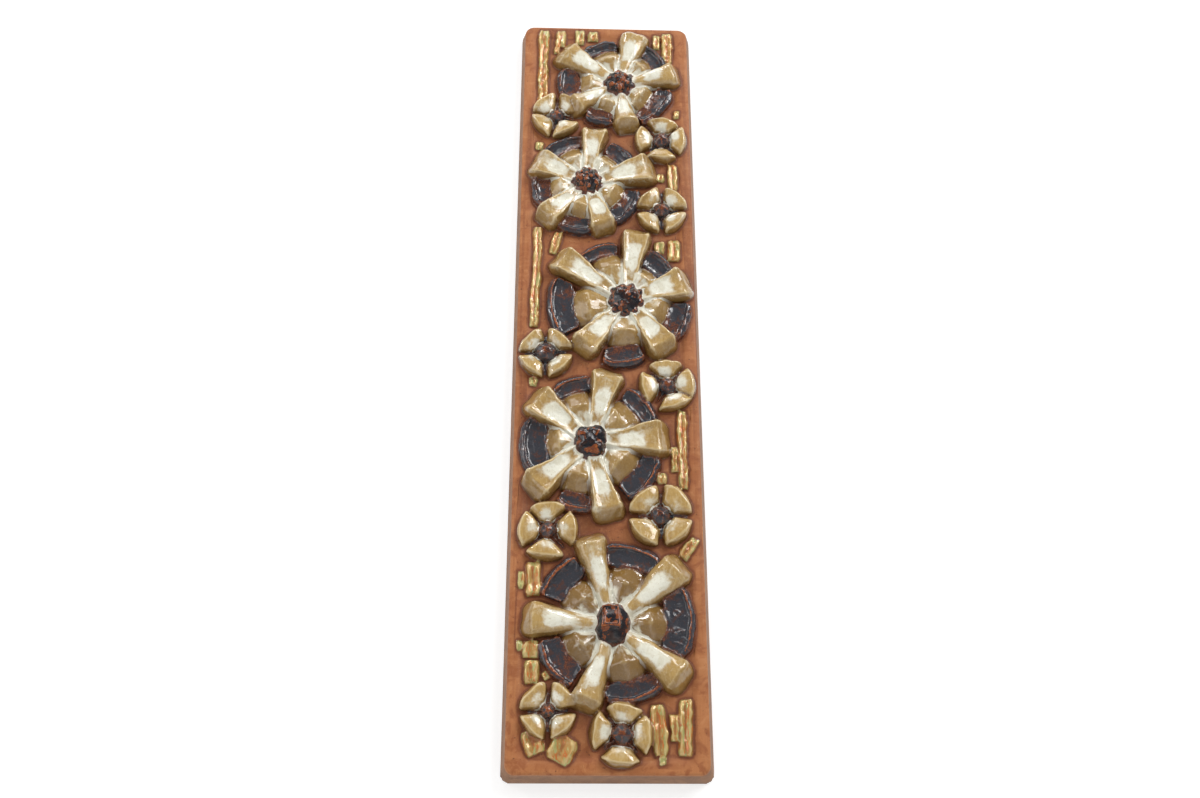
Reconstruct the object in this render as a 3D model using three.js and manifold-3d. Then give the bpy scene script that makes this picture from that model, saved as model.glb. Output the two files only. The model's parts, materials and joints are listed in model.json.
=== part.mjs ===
// A tall glazed stoneware wall plaque, pressed and fired in one piece: five large flowers in high
// relief down its middle, nine small flowers beside them and a scatter of narrow bars.
// Millimetres. The plaque hangs upright: X runs across it, Z up it, and its front faces -Y.
// Its back is flat on Y = 0, with the origin at the back's centre.
// The relief is laid out flat first, with x across, y up the plaque from its bottom edge and z out
// of the wall, and turned upright at the end.
import * as THREE from "three";
import { mergeVertices } from "three/addons/utils/BufferGeometryUtils.js";
import Module from "manifold-3d";

const wasm = await Module();
wasm.setup();

// ---- the slab -------------------------------------------------------------------------------
const HEIGHT = 540;
const WIDTH = 125; // across the back
const THICKNESS = 14;
const DRAFT = 3.2; // how far each side leans in by the time it reaches the front edge
const EDGE_ROUNDING = 1.5;
const CORNER_RADIUS = 8;
const CORNER_STEPS = 3;
const RIM = 8; // width of the plain rim round the sunken field
const FIELD_DEPTH = 1.2;
const FIELD_SLOPE = 2.5; // width of the slope from the rim down to the field

const GROUND = THICKNESS - FIELD_DEPTH; // the field's height above the back
const ROOT = 2.5; // how deep every raised form is rooted in the slab

// ---- the hanging slot in the back -----------------------------------------------------------
const SLOT = { width: 30, height: 10, depth: 8, fromTop: 42 };

// ---- large flowers --------------------------------------------------------------------------
const KNOB_TOP = 13.5; // height above the field
const LUMPY_FROM_RADIUS = 8; // knobs over this radius have more facets
const KNOB_LIFT = 0.3; // height of a knob's widest part, as a share of its top

// A petal's sections from the knob outwards. Places are shares of the way from the knob's edge to
// the ridge, foot and top are half widths as shares of the petal's width, and dish is how far the
// top sinks between its edges.
const PETAL_START = 7;
const PETAL_RIDGE = 11; // height of the ridge before the end facet
const PETAL_SECTIONS = [
  { place: 0, foot: 0.25, top: 0.15, height: 7, dish: 0.4 },
  { place: 0.58, foot: 0.39, top: 0.27, height: 9.3, dish: 1.1 },
  { place: 1, foot: 0.52, top: 0.38, height: PETAL_RIDGE, dish: 1.1 },
];
// The facet that slopes from the ridge down to the field.
const END_FACET = 8;
const END_SECTIONS = [
  { place: 0.7, foot: 0.48, top: 0.34, height: PETAL_RIDGE * 0.45, dish: 0.2 },
  { place: 1, foot: 0.4, top: 0.22, height: -0.8, dish: 0 },
];

// A lobe's sections from the knob outwards: places are shares of its reach, and feet are half
// widths as shares of the gap's half width at the lobe's end.
const LOBE_SECTIONS = [
  { place: 0.25, foot: 0.15, height: 5 },
  { place: 0.5, foot: 0.44, height: 7.2 },
  { place: 0.74, foot: 0.72, height: 9 },
  { place: 0.9, foot: 0.68, height: 5 },
  { place: 1, foot: 0.5, height: -0.8 },
];
const LOBE_SHOULDER = { out: 0.6, up: 0.78 }; // as shares of the foot and the height
const LOBE_END = 0.69; // how far the lobes reach, as a share of the ring's radius

const RING_INNER = 0.72; // inner radius of the dark ring, as a share of its outer radius
const RING_STEPS = 4; // facets along each length of ring
const RING_BED = 3.4; // height of the ring's top
const RING_LIP = 5; // height of the lip along its outer edge
const RING_END_TAPER = 0.78; // how narrow and low each length of ring is at its ends
const RING_MARGIN = 0.34; // half the room left for a petal, as a share of its width

// Each one's knob, the centre and outer radius of its ring, and its five petals, anticlockwise,
// as [direction in degrees, reach from the knob's centre, width at the outer end].
const LARGE_FLOWERS = [
  {
    knob: { x: 3, y: 89, radius: 11 },
    ring: { x: 4.5, y: 92.5, radius: 48 },
    petals: [[41.6, 58.8, 22.7], [104.7, 59, 20], [175.3, 55.2, 22], [250.6, 54, 20], [322.3, 55.6, 22]],
  },
  {
    knob: { x: -10.5, y: 205.5, radius: 11 },
    ring: { x: -9.3, y: 206.5, radius: 45.5 },
    petals: [[4.5, 50.7, 26], [76, 53.6, 22], [139.8, 51, 25], [220.2, 51, 22], [282, 53.2, 21]],
  },
  {
    knob: { x: 12.5, y: 307, radius: 11.5 },
    ring: { x: 7.5, y: 307, radius: 47 },
    petals: [[18.8, 46.5, 25], [80.9, 56.7, 21], [144.7, 58.8, 22], [235.7, 49.6, 21], [305.7, 48, 22]],
  },
  {
    knob: { x: -13, y: 399, radius: 10.5 },
    ring: { x: -15, y: 398.5, radius: 38.5 },
    petals: [[16.6, 49, 25], [84, 48.3, 20], [154, 43.4, 24], [225, 45.3, 20], [285, 42.4, 19]],
  },
  {
    knob: { x: 9, y: 482, radius: 11 },
    ring: { x: 5, y: 487, radius: 40 },
    petals: [[13.7, 46.3, 20], [74, 51, 22], [144.2, 53, 24], [208.4, 42, 18], [278.5, 40.4, 19]],
  },
];

// ---- small flowers --------------------------------------------------------------------------
const SMALL_CROWN = 7.5; // height of a small petal's ridge
const SMALL_KNOB_TOP = 8;
const SMALL_GAP = 1.3; // half the clay gap between neighbouring petals
const SMALL_STATIONS = [-1, -0.55, 0, 0.55, 1]; // across a small petal, from tip to tip
const SMALL_SPAN = 0.64; // half a small petal's span, as a share of the flower's radius

// Each one's centre, overall radius, knob radius and the directions of its four petals.
const SMALL_FLOWERS = [
  { x: -34.5, y: 39, radius: 17, knob: 4.5, petals: [45, 135, 225, 315] },
  { x: 8, y: 26, radius: 18.5, knob: 6, petals: [0, 82, 170, 265] },
  { x: 33, y: 158, radius: 20.5, knob: 6.5, petals: [45, 135, 225, 315] },
  { x: -36.5, y: 148, radius: 19, knob: 5.5, petals: [5, 92, 175, 263] },
  { x: 39, y: 246, radius: 18.5, knob: 5.5, petals: [5, 92, 185, 290] },
  { x: -40, y: 269, radius: 18, knob: 6.5, petals: [47, 137, 225, 315] },
  { x: 38, y: 378, radius: 18, knob: 5.5, petals: [45, 135, 225, 315] },
  { x: 38.5, y: 435.5, radius: 18.5, knob: 6, petals: [0, 82, 175, 270] },
  { x: -35.5, y: 456, radius: 18, knob: 5, petals: [45, 130, 215, 300] },
];

// ---- bars ------------------------------------------------------------------------------------
const BAR_BEVEL = 1.2;

// Each one's [x, y of the centre, width, length, lean in degrees, height].
const BARS = [
  [30, 28.5, 9, 29, 3, 3.6],
  [38.5, 29.5, 4.5, 15, 0, 3],
  [45, 30, 8, 32, 0, 3.8],
  [32, 11, 6, 4, 90, 2.2],
  [-43, 22, 12, 14, 20, 3.6],
  [-26, 18, 15, 15, -25, 4],
  [-45.5, 75.5, 9, 10, 0, 3.6],
  [-51.5, 78, 3, 6, 0, 2.4],
  [-44.5, 62, 9, 14, 0, 3.6],
  [-36.5, 60, 3, 5, 30, 2.4],
  [-44.5, 118, 9, 22, 0, 3.8],
  [-52, 117.5, 4, 11, 0, 2.6],
  [50, 137.5, 7, 15, -35, 3],
  [48, 201.5, 6, 53, 0, 3.6],
  [42.5, 195.5, 4, 17, 0, 2.8],
  [34, 182.5, 7, 7, 0, 2.6],
  [-47.5, 249, 5, 6, 0, 2.4],
  [-47.5, 327, 6, 76, -1, 3.6],
  [-34.5, 352.5, 6, 17, -15, 3],
  [36, 350, 6, 8, 0, 3],
  [45.5, 347.5, 7, 15, 0, 3.4],
  [46, 406, 5, 20, 0, 3.2],
  [37.5, 405.5, 5, 7, 0, 2.6],
  [-47.5, 431, 5, 6, 0, 2.6],
  [50, 459, 4, 6, 0, 2.6],
  [-45.5, 501.5, 5.5, 63, 0, 3.4],
  [-33.5, 524.5, 6.5, 12, 0, 3.2],
  [-36, 515.5, 4, 6, 0, 2.6],
  [-19, 525.5, 6, 10, 0, 3],
  [-9.5, 527, 5.5, 8, 0, 3],
  [37, 522.5, 4, 12, 0, 3],
  [44.5, 518.5, 5, 24, 0, 3.4],
];

// ---- helpers --------------------------------------------------------------------------------
const point = (x, y, z) => new THREE.Vector3(x, y, z);
const radians = THREE.MathUtils.degToRad;

// A closed body through rings of points, all with as many points. Seen from its last ring, each
// ring runs anticlockwise.
function loft(rings) {
  const sides = rings[0].length;
  const points = rings.flat();
  const faces = [];
  for (let ring = 0; ring < rings.length - 1; ring++) {
    for (let side = 0; side < sides; side++) {
      const a = ring * sides + side;
      const b = ring * sides + ((side + 1) % sides);
      faces.push(a, b, b + sides, a, b + sides, a + sides);
    }
  }
  const last = (rings.length - 1) * sides;
  for (let side = 1; side < sides - 1; side++) {
    faces.push(0, side + 1, side);
    faces.push(last, last + side, last + side + 1);
  }
  const body = new THREE.BufferGeometry().setFromPoints(points);
  body.setIndex(faces);
  return body;
}

// Where a ray from a point leaves a circle, as its distance and its direction about the centre.
function leaving(from, direction, circle, radius) {
  const along = new THREE.Vector2(Math.cos(direction), Math.sin(direction));
  const toCentre = new THREE.Vector2(circle.x - from.x, circle.y - from.y);
  const nearest = along.dot(toCentre);
  const distance = nearest + Math.sqrt(radius ** 2 - toCentre.lengthSq() + nearest ** 2);
  const x = from.x + along.x * distance - circle.x;
  const y = from.y + along.y * distance - circle.y;
  return { distance, direction: Math.atan2(y, x) };
}

// Turns a form about its own root and sets it on the field.
function place(body, x, y, direction) {
  body.rotateZ(direction);
  body.translate(x, y, GROUND);
  return body;
}

function toSolid(geometry) {
  geometry.deleteAttribute("normal");
  geometry.deleteAttribute("uv");
  const body = mergeVertices(geometry);
  const mesh = new wasm.Mesh({
    numProp: 3,
    vertProperties: new Float32Array(body.attributes.position.array),
    triVerts: new Uint32Array(body.index.array),
  });
  return new wasm.Manifold(mesh);
}

// ---- forms, each along +x from its root at the origin, with z = 0 at the field ---------------

// A trumpet-shaped petal: narrow by the knob, flaring to a ridge, then a sloping end.
function petal(reach, width) {
  const ridge = reach - END_FACET;
  const across = (x, { foot, top, height, dish }) => [
    point(x, -foot * width, -ROOT),
    point(x, foot * width, -ROOT),
    point(x, top * width, height),
    point(x, 0, height - dish),
    point(x, -top * width, height),
  ];
  const body = PETAL_SECTIONS.map((s) => across(PETAL_START + (ridge - PETAL_START) * s.place, s));
  const end = END_SECTIONS.map((s) => across(ridge + END_FACET * s.place, s));
  return loft([...body, ...end]);
}

// A domed wedge between two petals: its point at the knob, a crown, then a slope down outwards.
function lobe(reach, halfGap) {
  const widest = reach * Math.sin(halfGap);
  return loft(
    LOBE_SECTIONS.map(({ place, foot, height }) => {
      const x = reach * place;
      const half = widest * foot;
      const shoulder = { y: half * LOBE_SHOULDER.out, z: height * LOBE_SHOULDER.up };
      return [
        point(x, -half, -ROOT),
        point(x, half, -ROOT),
        point(x, shoulder.y, shoulder.z),
        point(x, 0, height),
        point(x, -shoulder.y, shoulder.z),
      ];
    }),
  );
}

// A length of the dark ring about the origin: a flat bed inside a raised outer lip.
function ringLength(radius, from, to) {
  const middle = (radius * (1 + RING_INNER)) / 2;
  const rings = [];
  for (let i = 0; i <= RING_STEPS; i++) {
    const angle = from + ((to - from) * i) / RING_STEPS;
    const taper = i === 0 || i === RING_STEPS ? RING_END_TAPER : 1;
    const half = (radius - middle) * taper;
    const at = (r, z) => point(r * Math.cos(angle), r * Math.sin(angle), z);
    rings.push([
      at(middle + half, -ROOT),
      at(middle - half, -ROOT),
      at(middle - half + 1, RING_BED * taper),
      at(middle + half * 0.4, RING_BED * taper),
      at(middle + half - 1.6, RING_LIP * taper),
    ]);
  }
  return loft(rings);
}

// A lumpy dome.
function knob(radius, top) {
  const body = new THREE.IcosahedronGeometry(1, radius > LUMPY_FROM_RADIUS ? 1 : 0);
  const centre = top * KNOB_LIFT;
  body.scale(radius, radius, top - centre);
  body.translate(0, 0, centre);
  return body;
}

// A quarter-moon petal: lofted sideways, its inner edge along the knob and its outer edge round.
function smallPetal(radius, knobRadius) {
  const halfSpan = radius * SMALL_SPAN;
  const sections = SMALL_STATIONS.map((share) => {
    const y = -halfSpan * share;
    const inner = Math.max(knobRadius + 0.3, Math.abs(y) + SMALL_GAP * Math.SQRT2);
    const outer = Math.sqrt(radius ** 2 - y ** 2);
    const height = SMALL_CROWN * (1 - 0.5 * share ** 2);
    const half = Math.max((outer - inner) / 2, 1);
    const middle = outer - half;
    return [
      point(middle - half, y, -ROOT),
      point(middle + half, y, -ROOT),
      point(middle + half * 0.55, y, height * 0.8),
      point(middle - half * 0.45, y, height),
    ];
  });
  return loft(sections);
}

// A narrow raised bar along +x, centred on the origin, with sloping sides and ends.
function bar(width, length, height) {
  const across = (x, bevel, z) => [point(x, -width / 2 + bevel, z), point(x, width / 2 - bevel, z)];
  const outline = (bevel, z) => [
    ...across(-length / 2 + bevel, bevel, z).reverse(),
    ...across(length / 2 - bevel, bevel, z),
  ];
  return loft([outline(0, -ROOT), outline(BAR_BEVEL, height)]);
}

// ---- the slab --------------------------------------------------------------------------------
function slabRing(inset, z) {
  const radius = Math.max(CORNER_RADIUS - inset, 2);
  const halfWidth = WIDTH / 2 - inset - radius;
  const halfHeight = HEIGHT / 2 - inset - radius;
  const ring = [];
  for (const [corner, sx, sy] of [[0, 1, 1], [1, -1, 1], [2, -1, -1], [3, 1, -1]]) {
    for (let i = 0; i <= CORNER_STEPS; i++) {
      const angle = (corner + i / CORNER_STEPS) * (Math.PI / 2);
      const x = sx * halfWidth + radius * Math.cos(angle);
      const y = HEIGHT / 2 + sy * halfHeight + radius * Math.sin(angle);
      ring.push(point(x, y, z));
    }
  }
  return ring;
}

function slab() {
  const front = DRAFT + EDGE_ROUNDING;
  const rings = [
    slabRing(0, 0),
    slabRing(DRAFT, THICKNESS - EDGE_ROUNDING),
    slabRing(front, THICKNESS),
    slabRing(front + RIM, THICKNESS),
    slabRing(front + RIM + FIELD_SLOPE, GROUND),
  ];
  return loft(rings);
}

function hangingSlot() {
  const body = new THREE.BoxGeometry(SLOT.width, SLOT.height, SLOT.depth * 2);
  body.translate(0, HEIGHT - SLOT.fromTop, 0);
  return body;
}

// ---- the relief ------------------------------------------------------------------------------
function largeFlower({ knob: heart, ring, petals }) {
  const forms = [place(knob(heart.radius, KNOB_TOP), heart.x, heart.y, 0)];
  petals.forEach(([degrees, reach, width], i) => {
    const direction = radians(degrees);
    const [nextDegrees] = petals[(i + 1) % petals.length];
    const gap = radians((nextDegrees - degrees + 360) % 360);
    const bisector = direction + gap / 2;
    forms.push(place(petal(reach, width), heart.x, heart.y, direction));

    const lobeEnd = leaving(heart, bisector, ring, ring.radius * LOBE_END);
    forms.push(place(lobe(lobeEnd.distance, gap / 2), heart.x, heart.y, bisector));

    const start = leaving(heart, direction, ring, ring.radius * 0.9).direction;
    const end = leaving(heart, direction + gap, ring, ring.radius * 0.9).direction;
    const turn = (end - start + 2 * Math.PI) % (2 * Math.PI);
    const margin = (width * RING_MARGIN) / ring.radius;
    const length = ringLength(ring.radius, start + margin, start + turn - margin);
    forms.push(place(length, ring.x, ring.y, 0));
  });
  return forms;
}

function smallFlower({ x, y, radius, knob: knobRadius, petals }) {
  const forms = petals.map((degrees) => place(smallPetal(radius, knobRadius), x, y, radians(degrees)));
  forms.push(place(knob(knobRadius, SMALL_KNOB_TOP), x, y, 0));
  return forms;
}

function bars() {
  return BARS.map(([x, y, width, length, lean, height]) =>
    place(bar(width, length, height), x, y, radians(90 + lean)),
  );
}

// ---- one fired piece -------------------------------------------------------------------------
const relief = [
  ...LARGE_FLOWERS.flatMap(largeFlower),
  ...SMALL_FLOWERS.flatMap(smallFlower),
  ...bars(),
];
const joined = wasm.Manifold.union([toSolid(slab()), ...relief.map(toSolid)]);
const fired = joined.subtract(toSolid(hangingSlot()));

const surface = fired.getMesh();
const geometry = new THREE.BufferGeometry();
geometry.setAttribute("position", new THREE.BufferAttribute(surface.vertProperties, 3));
geometry.setIndex(new THREE.BufferAttribute(surface.triVerts, 1));
geometry.translate(0, -HEIGHT / 2, 0);
geometry.rotateX(Math.PI / 2);
geometry.computeVertexNormals();

const stoneware = new THREE.MeshStandardMaterial({ color: 0xb0744a, roughness: 0.6, metalness: 0 });
const plaque = new THREE.Mesh(geometry, stoneware);
plaque.name = "plaque";

const group = new THREE.Group();
group.add(plaque);
export default group;
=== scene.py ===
"""A tall glazed stoneware wall plaque, with five large flowers in high relief down its middle.

The plaque is pressed and fired as one piece, so every form here is modelled on its own, joined
to the slab, fused into one skin and then glazed. Sizes are in millimetres unless a property
says otherwise. The forms are laid out flat first, with x across the plaque, y up it from its
bottom edge and z out of the wall, and are then turned upright.
"""

import json
import math

import bpy
import numpy as np
from bpy.props import FloatProperty, FloatVectorProperty, IntProperty, PointerProperty
from mathutils import Matrix, Vector, noise
from mathutils.bvhtree import BVHTree
from mathutils.kdtree import KDTree

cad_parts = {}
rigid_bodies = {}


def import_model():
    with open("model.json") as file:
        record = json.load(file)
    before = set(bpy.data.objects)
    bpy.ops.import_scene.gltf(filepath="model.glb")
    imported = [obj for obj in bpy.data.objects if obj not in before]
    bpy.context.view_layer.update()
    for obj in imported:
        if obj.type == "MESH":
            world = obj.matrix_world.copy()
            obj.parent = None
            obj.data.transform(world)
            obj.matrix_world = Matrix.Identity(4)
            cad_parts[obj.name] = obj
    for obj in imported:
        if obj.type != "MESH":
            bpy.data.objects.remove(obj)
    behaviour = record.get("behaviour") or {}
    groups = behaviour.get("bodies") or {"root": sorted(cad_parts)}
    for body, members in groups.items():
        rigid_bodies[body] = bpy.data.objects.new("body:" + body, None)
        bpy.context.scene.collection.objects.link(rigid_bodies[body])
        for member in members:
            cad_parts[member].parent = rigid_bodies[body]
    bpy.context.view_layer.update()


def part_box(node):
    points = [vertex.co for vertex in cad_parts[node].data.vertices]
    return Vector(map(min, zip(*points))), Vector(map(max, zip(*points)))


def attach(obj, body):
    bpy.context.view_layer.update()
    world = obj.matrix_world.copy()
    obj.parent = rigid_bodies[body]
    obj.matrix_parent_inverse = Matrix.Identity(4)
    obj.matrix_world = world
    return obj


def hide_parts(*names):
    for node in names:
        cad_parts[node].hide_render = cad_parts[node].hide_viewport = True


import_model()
PLAQUE_LOW, PLAQUE_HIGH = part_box("plaque")

bl_info = {
    "name": "Stoneware Flower Plaque",
    "version": (1, 0, 0),
    "blender": (4, 5, 0),
    "location": "3D View > Sidebar > Plaque",
    "description": "Models, glazes and stages a tall stoneware wall plaque with flowers in relief",
    "category": "Object",
}

MM = 0.001
HEIGHT = (PLAQUE_HIGH.z - PLAQUE_LOW.z) / MM
WIDTH = (PLAQUE_HIGH.x - PLAQUE_LOW.x) / MM
GLAZES = ("cream", "dark", "gold")


def mirrored(foot, right, top):
    """A section that is even about its middle, from its left foot round."""
    left = [(-across, up) for across, up in reversed(right)]
    return ((-1, foot), (1, foot), *right, (0, top), *left)


# Sections as shares of a form's half width and height, from the left foot round. A flat petal is
# hollow between two ridges.
FLAT_PETAL_SECTION = mirrored(
    -0.25, ((0.97, 0.3), (0.91, 0.76), (0.79, 1), (0.66, 0.99), (0.42, 0.91)), 0.88
)
ROUND_PETAL_SECTION = (
    (-1, -0.25), (1, -0.25), (0.97, 0.3), (0.87, 0.68), (0.7, 0.86), (0.5, 0.95),
    (0.22, 1.02), (-0.12, 1.03), (-0.45, 0.96), (-0.68, 0.85), (-0.87, 0.66), (-0.97, 0.3),
)
SMALL_PETAL_SECTION = (
    (-1, -0.3), (1, -0.3), (0.99, 0.3), (0.9, 0.72), (0.66, 1),
    (0.3, 0.97), (-0.25, 0.88), (-0.7, 0.72), (-0.93, 0.45), (-0.99, 0.15),
)
ROOF_SECTION = (
    (-1, -0.3), (1, -0.3), (0.95, 0.2), (0.8, 0.5), (0.5, 0.76), (0.14, 1),
    (0, 1.03), (-0.14, 0.99), (-0.5, 0.74), (-0.8, 0.48), (-0.95, 0.2),
)
DOME_SECTION = mirrored(-0.3, ((0.95, 0.25), (0.78, 0.62), (0.45, 0.9)), 1)
BAR_SECTION = (
    (-1, -0.5), (1, -0.5), (0.94, 0.45), (0.72, 0.96), (0.42, 0.9),
    (0.08, 0.68), (-0.36, 0.86), (-0.7, 1), (-0.93, 0.5),
)

# A large petal's stations from its root (0) to its ridge (1), and then beyond the ridge as shares
# of (the end facet's length, the ridge's width, its height).
PETAL_SHARES = (0, 0.15, 0.3, 0.45, 0.6, 0.75, 0.9, 1)
PETAL_END = ((0.26, 0.98, 0.88), (0.55, 0.91, 0.62), (0.8, 0.79, 0.34), (1, 0.6, 0.03))
# A lobe's stations as shares of (its reach, its widest half width, its height).
LOBE_PROFILE = (
    (0.25, 0.15, 0.5), (0.33, 0.28, 0.62), (0.45, 0.42, 0.8), (0.57, 0.53, 0.98),
    (0.64, 0.57, 1.1), (0.68, 0.58, 1.07), (0.78, 0.57, 0.8), (0.88, 0.53, 0.5),
    (0.95, 0.46, 0.26), (1, 0.34, 0.03),
)

# Each large flower has
# - its knob as (x, y, radius), and how far that is without rust patches,
# - the lumps on the knob, in rows of (how many, place, size, lift) as shares of the knob,
# - its petals' section, and how far its lobes are fired from tan (0) to ochre (1),
# - the centre of its ring,
# - its five petals as (direction in degrees, reach from the knob's centre, width at the end),
# - its five dark lengths of ring as (first and last direction in degrees, inner and outer radius).
# Petals and lengths run anticlockwise, each length after the petal of its own number.
LARGE_FLOWERS = (
    {
        "knob": (3, 89, 12), "plain": 1.0, "lumps": (),
        "section": ROUND_PETAL_SECTION, "ochre": 0.75, "ring": (4.5, 92.5),
        "petals": (
            (41.6, 58.8, 22.7), (104.7, 59, 20), (175.3, 55.2, 22), (250.6, 54, 20),
            (322.3, 55.6, 22),
        ),
        "lengths": (
            (53, 97, 35, 48.5), (122, 162, 34.5, 49.5), (196, 236, 36, 50.5),
            (263, 306, 39, 51), (329, 386, 32.5, 48.5),
        ),
    },
    {
        "knob": (-10.5, 205.5, 11), "plain": 0.0,
        "lumps": ((4, 0.52, 0.46, 0.5), (6, 0.9, 0.18, 0.3)),
        "section": FLAT_PETAL_SECTION, "ochre": 0.3, "ring": (-9.3, 206.5),
        "petals": (
            (4.5, 50.7, 26), (76, 53.6, 22), (139.8, 51, 25), (220.2, 51, 22), (284, 53.2, 21),
        ),
        "lengths": (
            (20, 58, 35, 46.5), (92, 126, 37, 47.5), (157, 209, 31, 46.5),
            (240, 270, 37.5, 48.5), (300, 347, 34, 47),
        ),
    },
    {
        "knob": (12.5, 307, 11.5), "plain": 0.0,
        "lumps": ((9, 0.84, 0.24, 0.44), (3, 0.4, 0.42, 0.6)),
        "section": FLAT_PETAL_SECTION, "ochre": 0.1, "ring": (7.5, 307),
        "petals": (
            (18.8, 46.5, 25), (80.9, 56.7, 21), (144.7, 58.8, 22), (231.5, 49.6, 21),
            (305.7, 48, 22),
        ),
        "lengths": (
            (33, 61, 33, 47.5), (90, 126, 36.5, 46), (157, 216, 32, 48),
            (256, 293, 35.5, 48.5), (322, 358, 36.5, 50),
        ),
    },
    {
        "knob": (-13, 399, 10.5), "plain": 0.0,
        "lumps": ((9, 0.86, 0.2, 0.4), (7, 0.56, 0.2, 0.74), (3, 0.24, 0.2, 0.86)),
        "section": FLAT_PETAL_SECTION, "ochre": 0.15, "ring": (-15, 398.5),
        "petals": (
            (15, 49, 25), (84, 48.3, 20), (156, 43.4, 24), (225, 45.3, 20), (287, 42.4, 19),
        ),
        "lengths": (
            (29, 63, 30, 42), (94, 136, 31, 42), (170, 212, 26, 38),
            (241, 278, 29.5, 41), (304, 352, 29, 40.5),
        ),
    },
    {
        "knob": (9, 482, 11), "plain": 0.0,
        "lumps": ((8, 0.86, 0.2, 0.4), (6, 0.54, 0.22, 0.74), (2, 0.2, 0.24, 0.84)),
        "section": ROUND_PETAL_SECTION, "ochre": 0.2, "ring": (5, 487),
        "petals": (
            (13.7, 46.3, 20), (74, 51, 22), (144.2, 53, 24), (211, 42, 18), (278.5, 40.4, 19),
        ),
        "lengths": (
            (14, 53, 31.5, 42), (84, 129, 27, 36), (166, 208, 26, 41.5),
            (238, 268, 30, 40.5), (299, 348, 33, 45),
        ),
    },
)

# Each small flower's centre, overall radius, knob radius and the directions of its four petals.
SMALL_FLOWERS = (
    (-34.5, 39, 17, 4.5, (45, 135, 225, 315)),
    (8, 26, 18.5, 6, (0, 82, 170, 265)),
    (33, 158, 20.5, 6.5, (45, 135, 225, 315)),
    (-36.5, 148, 19, 5.5, (5, 92, 175, 263)),
    (39, 246, 18.5, 5.5, (5, 92, 185, 290)),
    (-40, 269, 18, 6.5, (47, 137, 225, 315)),
    (38, 378, 18, 5.5, (45, 135, 225, 315)),
    (38.5, 435.5, 18.5, 6, (0, 82, 175, 270)),
    (-35.5, 456, 18, 5, (45, 130, 215, 300)),
)

# Each bar's centre, width, length, lean in degrees and height.
BARS = (
    (30, 28.5, 9, 29, 3, 3.6),
    (38.5, 29.5, 4.5, 15, 0, 3),
    (45, 30, 8, 32, 0, 3.8),
    (32, 11, 6, 4, 90, 2.2),
    (-43, 22, 12, 14, 20, 3.6),
    (-26, 18, 15, 15, -25, 4),
    (-45.5, 75.5, 9, 10, 0, 3.6),
    (-51.5, 78, 3, 6, 0, 2.4),
    (-44.5, 62, 9, 14, 0, 3.6),
    (-36.5, 60, 3, 5, 30, 2.4),
    (-44.5, 118, 9, 22, 0, 3.8),
    (-52, 117.5, 4, 11, 0, 2.6),
    (50, 137.5, 7, 15, -35, 3),
    (48, 201.5, 6, 53, 0, 3.6),
    (42.5, 195.5, 4, 17, 0, 2.8),
    (34, 182.5, 7, 7, 0, 2.6),
    (-47.5, 249, 5, 6, 0, 2.4),
    (-47.5, 327, 6, 76, -1, 3.6),
    (-34.5, 352.5, 6, 17, -15, 3),
    (36, 350, 7, 9, 0, 3),
    (45.5, 347.5, 8, 16, 0, 3.4),
    (46, 406, 7, 22, 0, 3.2),
    (37.5, 405.5, 5, 7, 0, 2.6),
    (-47.5, 431, 5, 6, 0, 2.6),
    (50, 459, 4, 6, 0, 2.6),
    (-45.5, 499.5, 7.5, 67, 0, 3.4),
    (-33.5, 525.5, 8, 15, 0, 3.2),
    (-36, 515.5, 4, 6, 0, 2.6),
    (-19, 527, 7.5, 13, 0, 3),
    (-9.5, 528, 7, 9, 0, 3),
    (37, 524, 5.5, 13, 0, 3),
    (44.5, 517.5, 7.5, 29, 0, 3.4),
)


# ---- properties ------------------------------------------------------------------------------
def length(name, description, default):
    """A length in millimetres that a user may change."""
    return FloatProperty(name=name, description=description, default=default, min=0.01)


def colour(name, description, default):
    """A colour that a user may change."""
    return FloatVectorProperty(
        name=name, description=description, default=default, subtype="COLOR", min=0, max=1
    )


def watts(name, description, default):
    """A light's power that a user may change."""
    return FloatProperty(
        name=name, description=description, default=default, min=0, unit="POWER"
    )


class PlaqueSlabSizes(bpy.types.PropertyGroup):
    """Sizes of the slab, in millimetres."""

    thickness: length("Thickness", "Depth of the slab at its rim", 14.0)
    draft: length("Draft", "How far each side leans in towards the front", 3.2)
    corner_radius: length("Corner radius", "Radius of the four corners", 6.5)
    edge_rounding: length("Edge rounding", "Rounding of the front edge", 1.5)
    rim: length("Rim", "Width of the plain rim round the field", 5.5)
    field_depth: length("Field depth", "How far the field lies below the rim", 1.2)
    field_slope: length("Field slope", "Width of the slope between rim and field", 6.0)
    slot_width: length("Slot width", "Width of the hanging slot", 30.0)
    slot_height: length("Slot height", "Height of the hanging slot", 10.0)
    slot_depth: length("Slot depth", "Depth of the hanging slot", 8.0)
    slot_from_top: length("Slot from top", "From the top edge to the slot's middle", 42.0)


class PlaqueReliefSizes(bpy.types.PropertyGroup):
    """Sizes of the relief, in millimetres."""

    petal_height: length("Petal height", "Height of a large petal's ridge", 11.0)
    petal_root_height: length("Petal root height", "Height of a large petal by the knob", 7.0)
    end_facet: length("End facet", "Length of the slope at a large petal's end", 8.0)
    lobe_height: length("Lobe height", "Height of a lobe's crown", 9.0)
    knob_height: length("Knob height", "Height of a large knob", 13.5)
    ring_lip: length("Ring lip", "Height of the dark ring's outer lip", 5.0)
    ring_bed: length("Ring bed", "Height of the dark ring's top", 3.4)
    small_height: length("Small petal height", "Height of a small petal", 7.5)
    small_knob_height: length("Small knob height", "Height of a small knob", 8.0)


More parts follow.
